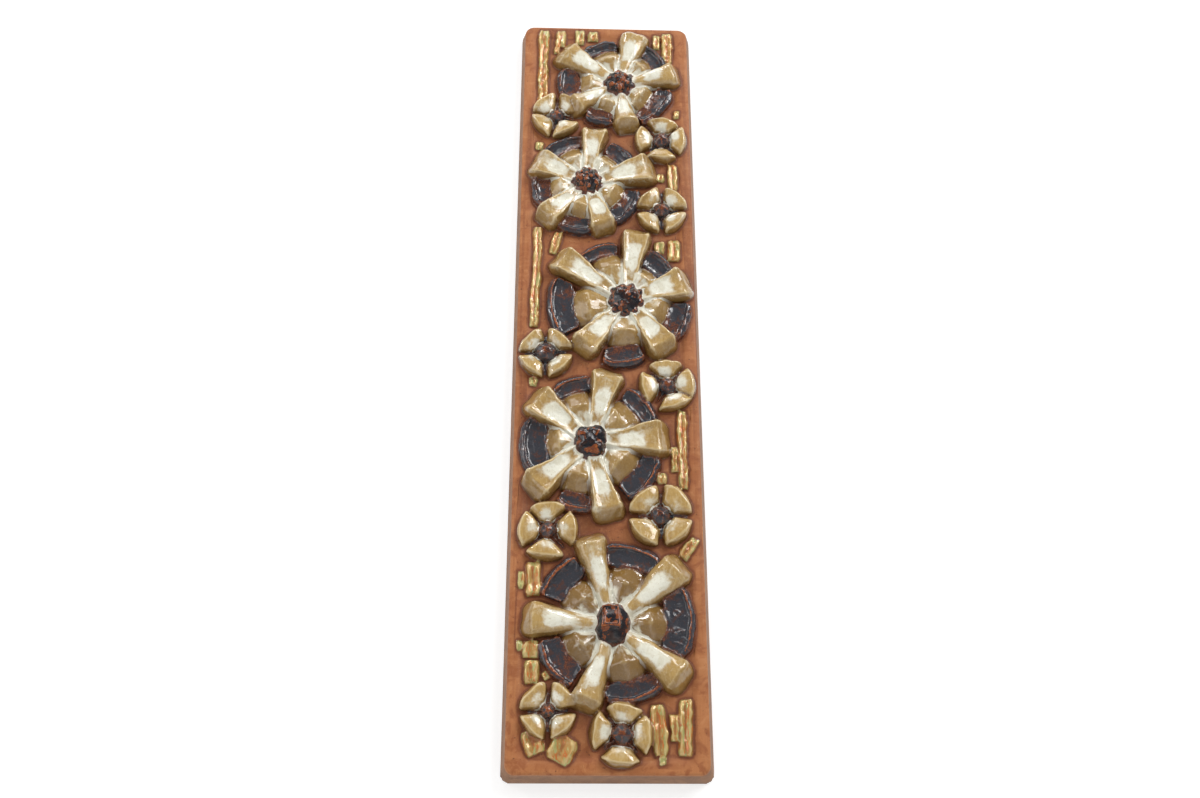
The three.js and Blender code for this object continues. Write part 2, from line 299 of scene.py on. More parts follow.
class PlaqueFiring(bpy.types.PropertyGroup):
    """How the forms fuse and how their surface comes out of the kiln."""

    voxel: length("Skin detail", "Spacing of the fused skin's first mesh", 0.62)
    softening: IntProperty(
        name="Softening", description="Rounds of smoothing that the glaze gives", default=4, min=0
    )
    triangles: IntProperty(
        name="Triangles", description="Most triangles in the finished skin", default=195000
    )
    clay_unevenness: length("Clay unevenness", "Swell and dip of the clay", 0.22)
    form_unevenness: length("Form unevenness", "Lumpiness of petals, lobes and knobs", 0.5)
    bar_unevenness: length("Bar unevenness", "Roughness of the bars", 0.55)
    stray: length("Stray", "How far forms stray from their places", 1.6)
    edge_waver: length("Edge waver", "How far the slab's sides waver", 0.8)
    edge_fall: length("Top edge fall", "How much lower the top edge is at its right end", 1.5)


class PlaqueColours(bpy.types.PropertyGroup):
    """Colours of the clay and of the glazes."""

    clay: colour("Clay", "Fired clay on the rim", (0.435, 0.166, 0.056))
    clay_deep: colour("Deep clay", "Fired clay in the recesses", (0.3, 0.095, 0.03))
    # dry clay, greyer than the front, and darker as painted shade on the sides
    clay_raw_and_shade: colour("Raw clay", "Dry clay on the sides and the back", (0.23, 0.125, 0.075))
    tan: colour("Tan glaze", "Cream glaze of middling thickness", (0.5, 0.325, 0.11))
    ochre: colour("Ochre glaze", "Cream glaze where it runs thin", (0.2, 0.106, 0.025))
    cream: colour("Cream glaze", "Cream glaze where it pools thickly", (0.81, 0.795, 0.68))
    black: colour("Black glaze", "Dark glaze where it is thick", (0.031, 0.032, 0.041))
    brown: colour("Brown glaze", "Dark glaze where it is thinner", (0.085, 0.03, 0.017))
    rust: colour("Rust glaze", "Dark glaze where it breaks over an edge", (0.42, 0.115, 0.022))
    gold: colour("Gold lustre", "Main colour of the bars", (0.48, 0.29, 0.085))
    copper: colour("Copper lustre", "Streaks along the bars", (0.6, 0.17, 0.04))
    green: colour("Green lustre", "Edges of the bars", (0.38, 0.42, 0.15))


class PlaqueStage(bpy.types.PropertyGroup):
    """The wall, the floor, the camera and the lights, in metres and watts."""

    wall_colour: colour("Wall", "Colour of the wall", (0.5, 0.5, 0.5))
    floor_colour: colour("Floor", "Colour of the floor", (0.7, 0.69, 0.67))
    floor_drop: FloatProperty(
        name="Floor drop", description="Floor below the plaque's middle", default=1.3, unit="LENGTH"
    )
    camera_place: FloatVectorProperty(
        name="Camera",
        description="Where the camera stands",
        default=(-0.01787, -0.7508, -0.355),
        subtype="TRANSLATION",
        unit="LENGTH",
    )
    camera_tilt: FloatProperty(
        name="Tilt", description="How far the camera looks up", default=0.41174, unit="ROTATION"
    )
    camera_pan: FloatProperty(
        name="Pan",
        description="How far the camera looks to the right",
        default=0.01823,
        unit="ROTATION",
    )
    lens: FloatProperty(name="Lens", description="Focal length", default=37.5, unit="CAMERA")
    key_power: watts("Key light", "Its power", 33.0)
    top_power: watts("Top light", "Its power", 14.0)
    side_power: watts("Side light", "Its power", 4.5)
    low_power: watts("Low light", "Its power", 1.0)
    back_power: watts("Back light", "Its power", 5.0)
    lamp_power: watts("Small lamps", "Power of each", 1.1)
    sky: FloatProperty(name="Room light", description="Brightness of the room", default=0.33)


# ---- modelling helpers -----------------------------------------------------------------------
def deselect():
    """Leaves edit mode with nothing selected."""
    if bpy.context.mode != "OBJECT":
        bpy.ops.object.mode_set(mode="OBJECT")
    bpy.ops.object.select_all(action="DESELECT")


def select_only(*objects):
    """Selects these objects and makes the first one active."""
    deselect()
    for item in objects:
        item.select_set(True)
    bpy.context.view_layer.objects.active = objects[0]


def open_mesh():
    """Opens the active object for editing, with everything selected."""
    bpy.ops.object.mode_set(mode="EDIT")
    bpy.ops.mesh.select_all(action="SELECT")


def close_mesh():
    """Turns every face outwards and leaves edit mode."""
    bpy.ops.mesh.select_all(action="SELECT")
    bpy.ops.mesh.normals_make_consistent(inside=False)
    bpy.ops.object.mode_set(mode="OBJECT")


def apply_place():
    """Moves the selected object's place and scale into its mesh."""
    bpy.ops.object.transform_apply(location=True, rotation=False, scale=True)


def apply_modifier(target, kind, **settings):
    """Adds a modifier with these settings and applies it."""
    select_only(target)
    modifier = target.modifiers.new(kind.title(), kind)
    for key, value in settings.items():
        setattr(modifier, key, value)
    bpy.ops.object.modifier_apply(modifier=modifier.name)


def join(objects, name):
    """Joins objects into the first of them."""
    select_only(*objects)
    if len(objects) > 1:
        bpy.ops.object.join()
    joined = bpy.context.object
    joined.name = name
    return joined


def filled_outline(points):
    """A flat face with these corners, open for editing."""
    deselect()
    bpy.ops.mesh.primitive_circle_add(vertices=len(points), radius=1, fill_type="NGON")
    form = bpy.context.object
    for vertex, point in zip(form.data.vertices, points):
        vertex.co = point
    open_mesh()
    return form


def pull(section, stations):
    """A closed form pulled out of one flat section along +x, in millimetres.

    section is the outline's (y, z) points, and each station is (x, y, wide, high): where the
    outline stands there, and its scale across and upwards."""
    x, y, wide, high = stations[0]
    form = filled_outline([(x, y + across * wide, up * high) for across, up in section])
    for following in stations[1:]:
        move = (following[0] - x, following[1] - y, 0)
        bpy.ops.mesh.extrude_region_move(TRANSFORM_OT_translate={"value": move})
        bpy.ops.transform.resize(
            value=(1, following[2] / wide, following[3] / high),
            center_override=(following[0], following[1], 0),
        )
        x, y, wide, high = following
    close_mesh()
    return form


def upright(ground):
    """The matrix that turns the flat layout upright and into metres."""
    lift = Matrix.Translation((0, 0, ground))
    turn = Matrix.Rotation(math.radians(90), 4, "X")
    drop = Matrix.Translation((0, 0, PLAQUE_LOW.z))
    return drop @ Matrix.Scale(MM, 4) @ turn @ lift


def set_down(form, x, y, degrees):
    """Turns a form about its root and sets it on the field, upright, with its place in its mesh."""
    slab = bpy.context.scene.plaque_slab
    ground = slab.thickness - slab.field_depth
    place = Matrix.Translation((x, y, 0)) @ Matrix.Rotation(math.radians(degrees), 4, "Z")
    form.data.transform(upright(ground) @ place)
    return form


def out_from(origin, degrees, out):
    """The point that lies out from an origin, in a direction in degrees."""
    turn = math.radians(degrees)
    return origin[0] + out * math.cos(turn), origin[1] + out * math.sin(turn)


def leaving(start, degrees, centre, radius):
    """How far along a ray from start it leaves a circle."""
    along = Vector(out_from((0, 0), degrees, 1))
    to_centre = Vector((centre[0] - start[0], centre[1] - start[1]))
    nearest = along.dot(to_centre)
    return nearest + math.sqrt(radius**2 - to_centre.length_squared + nearest**2)


def gaps(flower):
    """Each gap between a large flower's neighbouring petals, as (direction, opening) in degrees."""
    petals = flower["petals"]
    for i, (degrees, _reach, _width) in enumerate(petals):
        yield degrees, (petals[(i + 1) % len(petals)][0] - degrees) % 360


def steady(*numbers):
    """A number from 0 to 1 that is always the same for the same numbers."""
    return 0.5 + 0.5 * noise.noise(Vector([n * 0.731 + 3.17 for n in (*numbers, 0, 0)][:3]))


# ---- the forms -------------------------------------------------------------------------------
RIDGE_SPREAD = 0.515  # half a petal's width just past its ridge, as a share of its end's width


def petal_spread(share):
    """Half a petal's width as a share of its end's width, from its root (0) to its ridge (1)."""
    return 0.18 + 0.33 * share**1.15


def petal(reach, width, section):
    """A trumpet-shaped petal: narrow by the knob, flaring to a ridge, then a sloping end."""
    relief = bpy.context.scene.plaque_relief
    start = 6  # inside the knob
    ridge = reach - relief.end_facet
    rise = relief.petal_height - relief.petal_root_height
    stations = []
    for share in PETAL_SHARES:
        high = relief.petal_root_height + rise * share
        stations.append((start + (ridge - start) * share, 0, width * petal_spread(share), high))
    for share, narrowing, high in PETAL_END:
        half = width * RIDGE_SPREAD * narrowing
        stations.append((ridge + relief.end_facet * share, 0, half, relief.petal_height * high))
    return pull(section, stations)


def lobe(reach, opening, section):
    """A domed wedge between two petals, with a crown that breaks towards its outer end."""
    top = bpy.context.scene.plaque_relief.lobe_height
    widest = reach * math.sin(math.radians(opening / 2))
    stations = [(reach * x, 0, widest * half, top * high) for x, half, high in LOBE_PROFILE]
    return pull(section, stations)


def ring_length(first, last, inner, outer):
    """A length of the dark ring: a bed inside a raised lip, spun about the ring's centre."""
    relief = bpy.context.scene.plaque_relief
    bed, lip = relief.ring_bed, relief.ring_lip
    foot = -2.5
    middle = (outer + inner) / 2
    outline = (
        (outer, foot),
        (outer - 0.3, lip * 0.3),
        (outer - 0.9, lip * 0.72),
        (outer - 2.2, lip * 0.9),
        (outer - 3.4, lip),
        (outer - 4.2, lip * 0.94),
        (outer - 5, bed * 0.9),
        (middle - 1, bed * 0.8),
        (inner + 2, bed * 0.9),
        (inner + 1, bed * 1.12),
        (inner + 0.1, bed * 0.7),
        (inner - 0.4, foot),
    )
    turn = last - first
    form = filled_outline([(*out_from((0, 0), first, r), z) for r, z in outline])
    bpy.ops.mesh.spin(steps=20, angle=-math.radians(turn), center=(0, 0, 0), axis=(0, 0, 1))
    bpy.ops.mesh.select_all(action="SELECT")
    bpy.ops.mesh.remove_doubles(threshold=0.001)
    close_mesh()
    # The ends narrow, and the bed rises to a low lip there.
    tapering, end_lip = 6, 1.6
    for vertex in form.data.vertices:
        angle = (math.degrees(math.atan2(vertex.co.y, vertex.co.x)) - first + 90) % 360 - 90
        share = min(max(angle / turn, 0), 1)
        end = min(share, 1 - share) * math.radians(turn) * middle
        narrowing = 0.66 + 0.34 * min(end / tapering, 1) ** 0.5
        r = vertex.co.to_2d().length
        squeezed = middle + (r - middle) * narrowing
        vertex.co.x *= squeezed / r
        vertex.co.y *= squeezed / r
        if 0.5 * bed < vertex.co.z < 1.05 * bed and end < end_lip:
            vertex.co.z += 0.3 * lip * (1 - end / end_lip)
    return form


def knob(radius, height, cuts, seed):
    """A lumpy dome with flats pressed into it."""
    deselect()
    bpy.ops.mesh.primitive_ico_sphere_add(subdivisions=4, radius=1)
    form = bpy.context.object
    bpy.ops.object.mode_set(mode="EDIT")
    for i in range(cuts):
        turn = math.tau * (i + 0.6 * steady(seed, i)) / cuts
        lean = math.radians(38 + 22 * steady(i, seed, 5))
        level = math.cos(lean)
        normal = Vector((math.cos(turn) * level, math.sin(turn) * level, math.sin(lean)))
        bpy.ops.mesh.select_all(action="SELECT")
        bpy.ops.mesh.bisect(
            plane_co=normal * (0.9 + 0.08 * steady(seed, 7, i)),
            plane_no=normal,
            use_fill=True,
            clear_outer=True,
        )
    bpy.ops.mesh.select_all(action="SELECT")
    centre = height * 0.3
    scale = (radius, radius, (height - centre) * 1.02)
    bpy.ops.transform.resize(value=scale, center_override=(0, 0, 0))
    bpy.ops.transform.translate(value=(0, 0, centre))
    close_mesh()
    return form


def berry(radius, height, seed, rows):
    """A knob of lumps crowded together, like a berry: each row is (lumps, place, size, lift)."""
    lumps = [knob(radius * 0.96, height * 0.93, 5, seed)]
    for row, (count, away, size, lift) in enumerate(rows):
        for i in range(count):
            turn = math.tau * (i + 0.5 * row + 0.35 * steady(seed, i, row)) / count
            r = radius * size * (0.75 + 0.6 * steady(i, seed, 3 + row))
            out = radius * away * (0.9 + 0.2 * steady(row, i, seed))
            place = (out * math.cos(turn), out * math.sin(turn), height * lift)
            deselect()
            bpy.ops.mesh.primitive_ico_sphere_add(subdivisions=3, radius=r, location=place)
            apply_place()
            lumps.append(bpy.context.object)
    return join(lumps, "berry")


def egg(radius, height, seed):
    """A plain knob, longer than it is wide, with a square ridge pressed up near its top."""
    dome = knob(radius * 0.96, height * 0.93, 2, seed)
    tilt = math.radians(11)
    bpy.ops.mesh.primitive_torus_add(
        major_segments=4,
        minor_segments=8,
        major_radius=radius * 0.62,
        minor_radius=radius * 0.085,
        location=(-radius * 0.08, radius * 0.3, height * 0.86),
        rotation=(-tilt, tilt, math.radians(45)),
    )
    form = join([dome, bpy.context.object], "egg")
    form.scale = (0.93, 1.16, 1)
    select_only(form)
    apply_place()
    return form


def small_petal(radius, knob_radius, height):
    """A quarter-moon petal, pulled sideways: its inner edge by the knob, its outer edge round."""
    gap = 1.25 * math.sqrt(2)
    half_span = radius * 0.585
    stations = []
    for share in (-1, -0.9, -0.7, -0.45, -0.2, 0, 0.2, 0.45, 0.7, 0.9, 1):
        x = half_span * share
        inner = max(knob_radius + 0.3, abs(x) + gap)
        outer = math.sqrt(radius**2 - x**2)
        half = (outer - inner) / 2
        outer -= half * 0.35 * share**6
        half *= 1 - 0.3 * share**6
        high = height * (1 - 0.14 * share**2 - 0.4 * share**10)
        stations.append((x, outer - half, half, high))
    form = pull(SMALL_PETAL_SECTION, stations)
    form.data.transform(Matrix.Rotation(math.radians(-90), 4, "Z"))
    return form


def bar(width, long, height, seed):
    """A narrow raised bar along +x, uneven as if drawn by hand, with a shallow groove."""
    steps = max(4, round(long / 2.4))
    stations = []
    for i in range(steps + 1):
        share = 2 * i / steps - 1
        end = 1 - 0.18 * abs(share) ** 14
        half = width / 2 * end + 0.9 * (steady(seed, i * 1.9) - 0.3)
        high = height * (1 - 0.35 * abs(share) ** 12) * (0.85 + 0.3 * steady(i * 2.3, seed))
        aside = 0.8 * (steady(seed, i, 9) - 0.5)
        stations.append((share * long / 2, aside, half, high))
    return pull(BAR_SECTION, stations)


# ---- operators: the forms --------------------------------------------------------------------
class PLAQUE_OT_slab(bpy.types.Operator):
    """Model the slab with its drafted sides, sunken field and hanging slot"""

    bl_idname = "plaque.slab"
    bl_label = "Slab"

    def execute(self, context):
        sizes = context.scene.plaque_slab
        deselect()
        bpy.ops.mesh.primitive_plane_add(size=1)
        slab = context.object
        slab.name = "slab"
        middle = (0, HEIGHT / 2, 0)
        open_mesh()
        bpy.ops.transform.resize(value=(WIDTH, HEIGHT, 1), center_override=(0, 0, 0))
        bpy.ops.transform.translate(value=middle)
        bpy.ops.mesh.bevel(offset=sizes.corner_radius, segments=8, affect="VERTICES")
        bpy.ops.mesh.select_all(action="SELECT")
        inset = height = 0
        for following, rise in self.profile(sizes):
            up = (0, 0, rise - height)
            bpy.ops.mesh.extrude_region_move(TRANSFORM_OT_translate={"value": up})
            across = (WIDTH - 2 * following) / (WIDTH - 2 * inset)
            along = (HEIGHT - 2 * following) / (HEIGHT - 2 * inset)
            bpy.ops.transform.resize(value=(across, along, 1), center_override=middle)
            inset, height = following, rise
        close_mesh()
        self.cut_slot(slab, sizes)
        slab.data.transform(upright(0))
        return {"FINISHED"}

    @staticmethod
    def profile(sizes):
        """The slab's side, rounded edge, rim and field, as (distance in from the side, height)."""
        rounding = sizes.edge_rounding
        edge = sizes.draft + rounding
        for angle in (0, 22, 45, 68, 90):
            turn = math.radians(angle)
            yield (
                edge - rounding * math.cos(turn),
                sizes.thickness - rounding * (1 - math.sin(turn)),
            )
        rim = sizes.draft + sizes.rim
        field = sizes.thickness - sizes.field_depth
        yield rim, sizes.thickness
        yield rim + sizes.field_slope * 0.3, sizes.thickness - sizes.field_depth * 0.2
        yield rim + sizes.field_slope * 0.7, field + sizes.field_depth * 0.2
        yield rim + sizes.field_slope, field

    @staticmethod
    def cut_slot(slab, sizes):
        """Cuts the hanging slot out of the back."""
        deselect()
        bpy.ops.mesh.primitive_cube_add(size=1, location=(0, HEIGHT - sizes.slot_from_top, 0))
        cutter = bpy.context.object
        cutter.scale = (sizes.slot_width, sizes.slot_height, 2 * sizes.slot_depth)
        apply_place()
        apply_modifier(slab, "BOOLEAN", operation="DIFFERENCE", object=cutter, solver="EXACT")
        bpy.data.objects.remove(cutter)


class PLAQUE_OT_large_flowers(bpy.types.Operator):
    """Model the petals, lobes, rings and knobs of the large flowers"""

    bl_idname = "plaque.large_flowers"
    bl_label = "Large flowers"

    def execute(self, context):
        relief = context.scene.plaque_relief
        pale = []
        dark = []
        for number, flower in enumerate(LARGE_FLOWERS):
            x, y, radius = flower["knob"]
            ring = flower["ring"]
            section = DOME_SECTION if number else ROOF_SECTION
            if flower["lumps"]:
                heart = berry(radius, relief.knob_height, number, flower["lumps"])
            else:
                heart = egg(radius, relief.knob_height, number)
            dark.append(set_down(heart, x, y, 30 * number))
            for degrees, reach, width in flower["petals"]:
                pale.append(set_down(petal(reach, width, flower["section"]), x, y, degrees))
            for gap, (first, last, inner, outer) in zip(gaps(flower), flower["lengths"]):
                degrees, opening = gap
                middle = degrees + opening / 2
                reach = leaving(flower["knob"], middle, ring, inner + 0.5)
                pale.append(set_down(lobe(reach, opening, section), x, y, middle))
                dark.append(set_down(ring_length(first, last, inner - 2.5, outer), *ring, 0))
        dark += self.marks(relief)
        join(pale, "large_pale")
        join(dark, "large_dark")
        return {"FINISHED"}

    @staticmethod
    def marks(relief):
        """Short radial ridges and two round marks on the lowest flower's widest dark length."""
        centre = LARGE_FLOWERS[0]["ring"]
        marks = []
        for i, degrees in enumerate((-27, -21, -15, -8, 4, 13)):
            at = out_from(centre, degrees, 43 - 3 * (i % 2))
            marks.append(set_down(bar(0.8, 6 + i % 3, relief.ring_bed + 0.5, 40 + i), *at, degrees))
        for degrees in (6, -10):
            deselect()
            bpy.ops.mesh.primitive_torus_add(
                major_segments=16,
                minor_segments=6,
                major_radius=1.9,
                minor_radius=0.6,
                location=(0, 0, relief.ring_bed),
            )
            apply_place()
            marks.append(set_down(bpy.context.object, *out_from(centre, degrees, 36.5), 0))
        return marks


class PLAQUE_OT_small_flowers(bpy.types.Operator):
    """Model the small four-petalled flowers"""

    bl_idname = "plaque.small_flowers"
    bl_label = "Small flowers"

    def execute(self, context):
        relief = context.scene.plaque_relief
        pale = []
        dark = []
        for number, (x, y, radius, heart, directions) in enumerate(SMALL_FLOWERS):
            dark.append(set_down(knob(heart, relief.small_knob_height, 5, number + 20), x, y, 0))
            for i, degrees in enumerate(directions):
                form = small_petal(radius, heart, relief.small_height)
                pale.append(set_down(form, x, y, degrees))
                after = directions[(i + 1) % len(directions)]
                gap = degrees + (after - degrees) % 360 / 2
                reach = radius * (0.3 + 0.35 * steady(number, i))
                at = out_from((x, y), gap, heart - 1 + reach / 2)
                dark.append(set_down(bar(0.9, reach, 1.7, number + i), *at, gap))
        join(pale, "small_pale")
        join(dark, "small_dark")
        return {"FINISHED"}


class PLAQUE_OT_bars(bpy.types.Operator):
    """Model the narrow lustred bars"""

    bl_idname = "plaque.bars"
    bl_label = "Bars"

    def execute(self, context):
        forms = [
            set_down(bar(width, long, height, number), x, y, 90 + lean)
            for number, (x, y, width, long, lean, height) in enumerate(BARS)
        ]
        join(forms, "bars")
        return {"FINISHED"}


# ---- firing ----------------------------------------------------------------------------------
def point_values(mesh, field):
    """A mesh's points ("co", in metres) or point normals ("normal"), as rows of three numbers."""
    flat = np.empty(len(mesh.vertices) * 3, np.float32)
    mesh.vertices.foreach_get(field, flat)
    return flat.reshape(-1, 3).astype(float)


def relaxed(points, edges, rounds):
    """Points drawn towards the mean of their neighbours, a few rounds over."""
    ends = np.concatenate([edges[:, 0], edges[:, 1]])
    others = np.concatenate([edges[:, 1], edges[:, 0]])
    count = np.bincount(ends, minlength=len(points))[:, None]
    for _ in range(rounds):
        sums = [np.bincount(ends, points[others, k], minlength=len(points)) for k in range(3)]
        points = 0.4 * points + 0.6 * np.stack(sums, axis=1) / count
    return points


def tree_of(*objects):
    """A search tree over the faces of several objects, in metres."""
    vertices = []
    faces = []
    for item in objects:
        first = len(vertices)
        vertices += [v.co.copy() for v in item.data.vertices]
        faces += [[first + i for i in p.vertices] for p in item.data.polygons]
    return BVHTree.FromPolygons(vertices, faces)


def distances(points, tree):
    """How far each point is from a tree's faces, in millimetres."""
    return np.array([tree.find_nearest(p)[3] for p in points]) / MM


def smooth_step(low, high, values):
    """0 below low, 1 above high and an even curve between."""
    t = np.clip((values - low) / (high - low), 0, 1)
    return t * t * (3 - 2 * t)


def fading(low, high, values):
    """1 below low, 0 above high and an even curve between."""
    return 1 - smooth_step(low, high, values)


def noise_at(points, scale, seed):
    """Smooth noise from -1 to 1, with features about 1 / scale millimetres across."""
    shift = Vector((seed * 17.3, seed * 5.1, seed * 9.7))
    return np.array([noise.noise(Vector(p) / MM * scale + shift) for p in points])


def write_attribute(mesh, name, values):
    """Stores a number for each point of a mesh."""
    layer = mesh.attributes.new(name, "FLOAT", "POINT")
    layer.data.foreach_set("value", values.astype(np.float32))


class Pools:
    """Where the cream glaze pools thickly, where it may gather in creases, and how dark it fires.

    pool, web and tone are from 0 to 1, a number for every point."""

    def __init__(self, points):
        slab = bpy.context.scene.plaque_slab
        self.end_facet = bpy.context.scene.plaque_relief.end_facet
        self.x = points[:, 0] / MM
        self.y = (points[:, 2] - PLAQUE_LOW.z) / MM
        self.height = -points[:, 1] / MM - slab.thickness + slab.field_depth
        self.pool, self.web, self.tone = np.zeros((3, len(points)))
        for flower in LARGE_FLOWERS:
            centre = flower["knob"]
            away = self.away(centre)
            self.web = np.maximum(self.web, fading(20, 33, away))
            self.add(0.75 * fading(centre[2] + 0.5, centre[2] + 3, away))
            for degrees, opening in gaps(flower):
                self.lobe(flower, degrees + opening / 2, opening)
            self.tone = np.where(away < centre[2] * 0.9, flower["plain"], self.tone)
            for number, (degrees, reach, width) in enumerate(flower["petals"]):
                self.petal(centre, number, degrees, reach, width)
        for flower in SMALL_FLOWERS:
            self.small_flower(*flower)

    def add(self, pool):
        """Lays one more pool over the others."""
        self.pool = np.maximum(self.pool, pool)

    def away(self, origin):
        """How far each point is from an origin."""
        return np.hypot(self.x - origin[0], self.y - origin[1])

    def local(self, degrees, origin):
        """Each point's place along a direction from an origin, and across it."""
        turn = math.radians(degrees)
        dx, dy = self.x - origin[0], self.y - origin[1]
        along = dx * math.cos(turn) + dy * math.sin(turn)
        return along, dy * math.cos(turn) - dx * math.sin(turn)

    def lobe(self, flower, middle, opening):
        """One spot near a lobe's root, and a darker tone beyond its crown."""
        centre, ochre = flower["knob"], flower["ochre"]
        along, across = self.local(middle, centre)
        chance = steady(middle, opening)
        wedge = smooth_step(0.8, 0.92, along / np.maximum(np.hypot(along, across), 0.1))
        wedge *= along < 42
        beyond = smooth_step(0.66, 0.72, along / leaving(centre, middle, flower["ring"], 34))
        fired = ochre + 0.3 * steady(opening, middle)
        self.tone = np.maximum(self.tone, wedge * np.maximum(fired, (0.5 + 0.5 * ochre) * beyond))
        spot = fading(0.0, 9, np.abs(along - 15 - 5 * chance))
        spot *= fading(1, 8, np.abs(across - 5 * (chance - 0.5)))
        self.add(spot * (0.2 + 0.6 * chance) * smooth_step(4, 6, self.height))

    def petal(self, centre, number, degrees, reach, width):
        """A strip along a petal's hollow and two by its root, and a darker tone past its ridge."""
        along, across = self.local(degrees, centre)
        ridge = reach - self.end_facet
        share = along / ridge
        aside = across / (width * petal_spread(np.clip(share, 0, 1)) * 0.8)
        on_petal = fading(1.0, 1.35, np.abs(aside)) * (along > 0) * (along < reach + 2)
        past = 0.45 * smooth_step(ridge - 1, ridge + 1.5, along)
        fired = np.maximum(0.25 * steady(reach, number, 2), past)
        self.tone = np.where(on_petal > 0.3, fired, self.tone)
        chance = steady(degrees, reach, number)
        begin = 0.36 + 0.16 * chance
        end = 0.84 + 0.1 * steady(reach, degrees)
        lean = (steady(degrees, 4) - 0.5) * 0.5
        strip = smooth_step(begin - 0.16, begin + 0.1, share) * fading(end - 0.16, end + 0.1, share)
        strip *= fading(0.35, 1.15, np.abs(aside + lean))
        root = smooth_step(0.3, 0.75, np.abs(aside)) * (np.abs(aside) < 1.5)
        root = np.maximum(root, chance * 0.75) * fading(begin - 0.08, begin + 0.12, share)
        root *= smooth_step(0.12, 0.2, share)
        self.add(np.maximum(strip, root * 0.8) * smooth_step(4, 6, self.height))

    def small_flower(self, x, y, radius, heart, directions):
        """One spot on each petal of a small flower."""
        self.web = np.maximum(self.web, fading(heart + 2, heart + 5, self.away((x, y))))
        for degrees in directions:
            along, across = self.local(degrees, (x, y))
            chance = steady(degrees, x, y)
            spot = fading(0.05, 0.4, np.abs(along / radius - 0.5))
            spot *= fading(1.5, 9, np.abs(across - 9 * (chance - 0.5)))
            self.add(spot * (0.45 + 0.55 * chance) * smooth_step(2.5, 4, self.height))


def drop_bubbles(form):
    """Deletes every loose part but the outer skin, which owns the lowest point."""
    select_only(form)
    lowest = point_values(form.data, "co")[:, 2].argmin()
    open_mesh()
    bpy.ops.mesh.select_mode(type="VERT")
    bpy.ops.mesh.select_all(action="DESELECT")
    bpy.ops.object.mode_set(mode="OBJECT")
    form.data.vertices[int(lowest)].select = True
    bpy.ops.object.mode_set(mode="EDIT")
    bpy.ops.mesh.select_linked()
    bpy.ops.mesh.select_all(action="INVERT")
    bpy.ops.mesh.delete(type="VERT")
    bpy.ops.object.mode_set(mode="OBJECT")


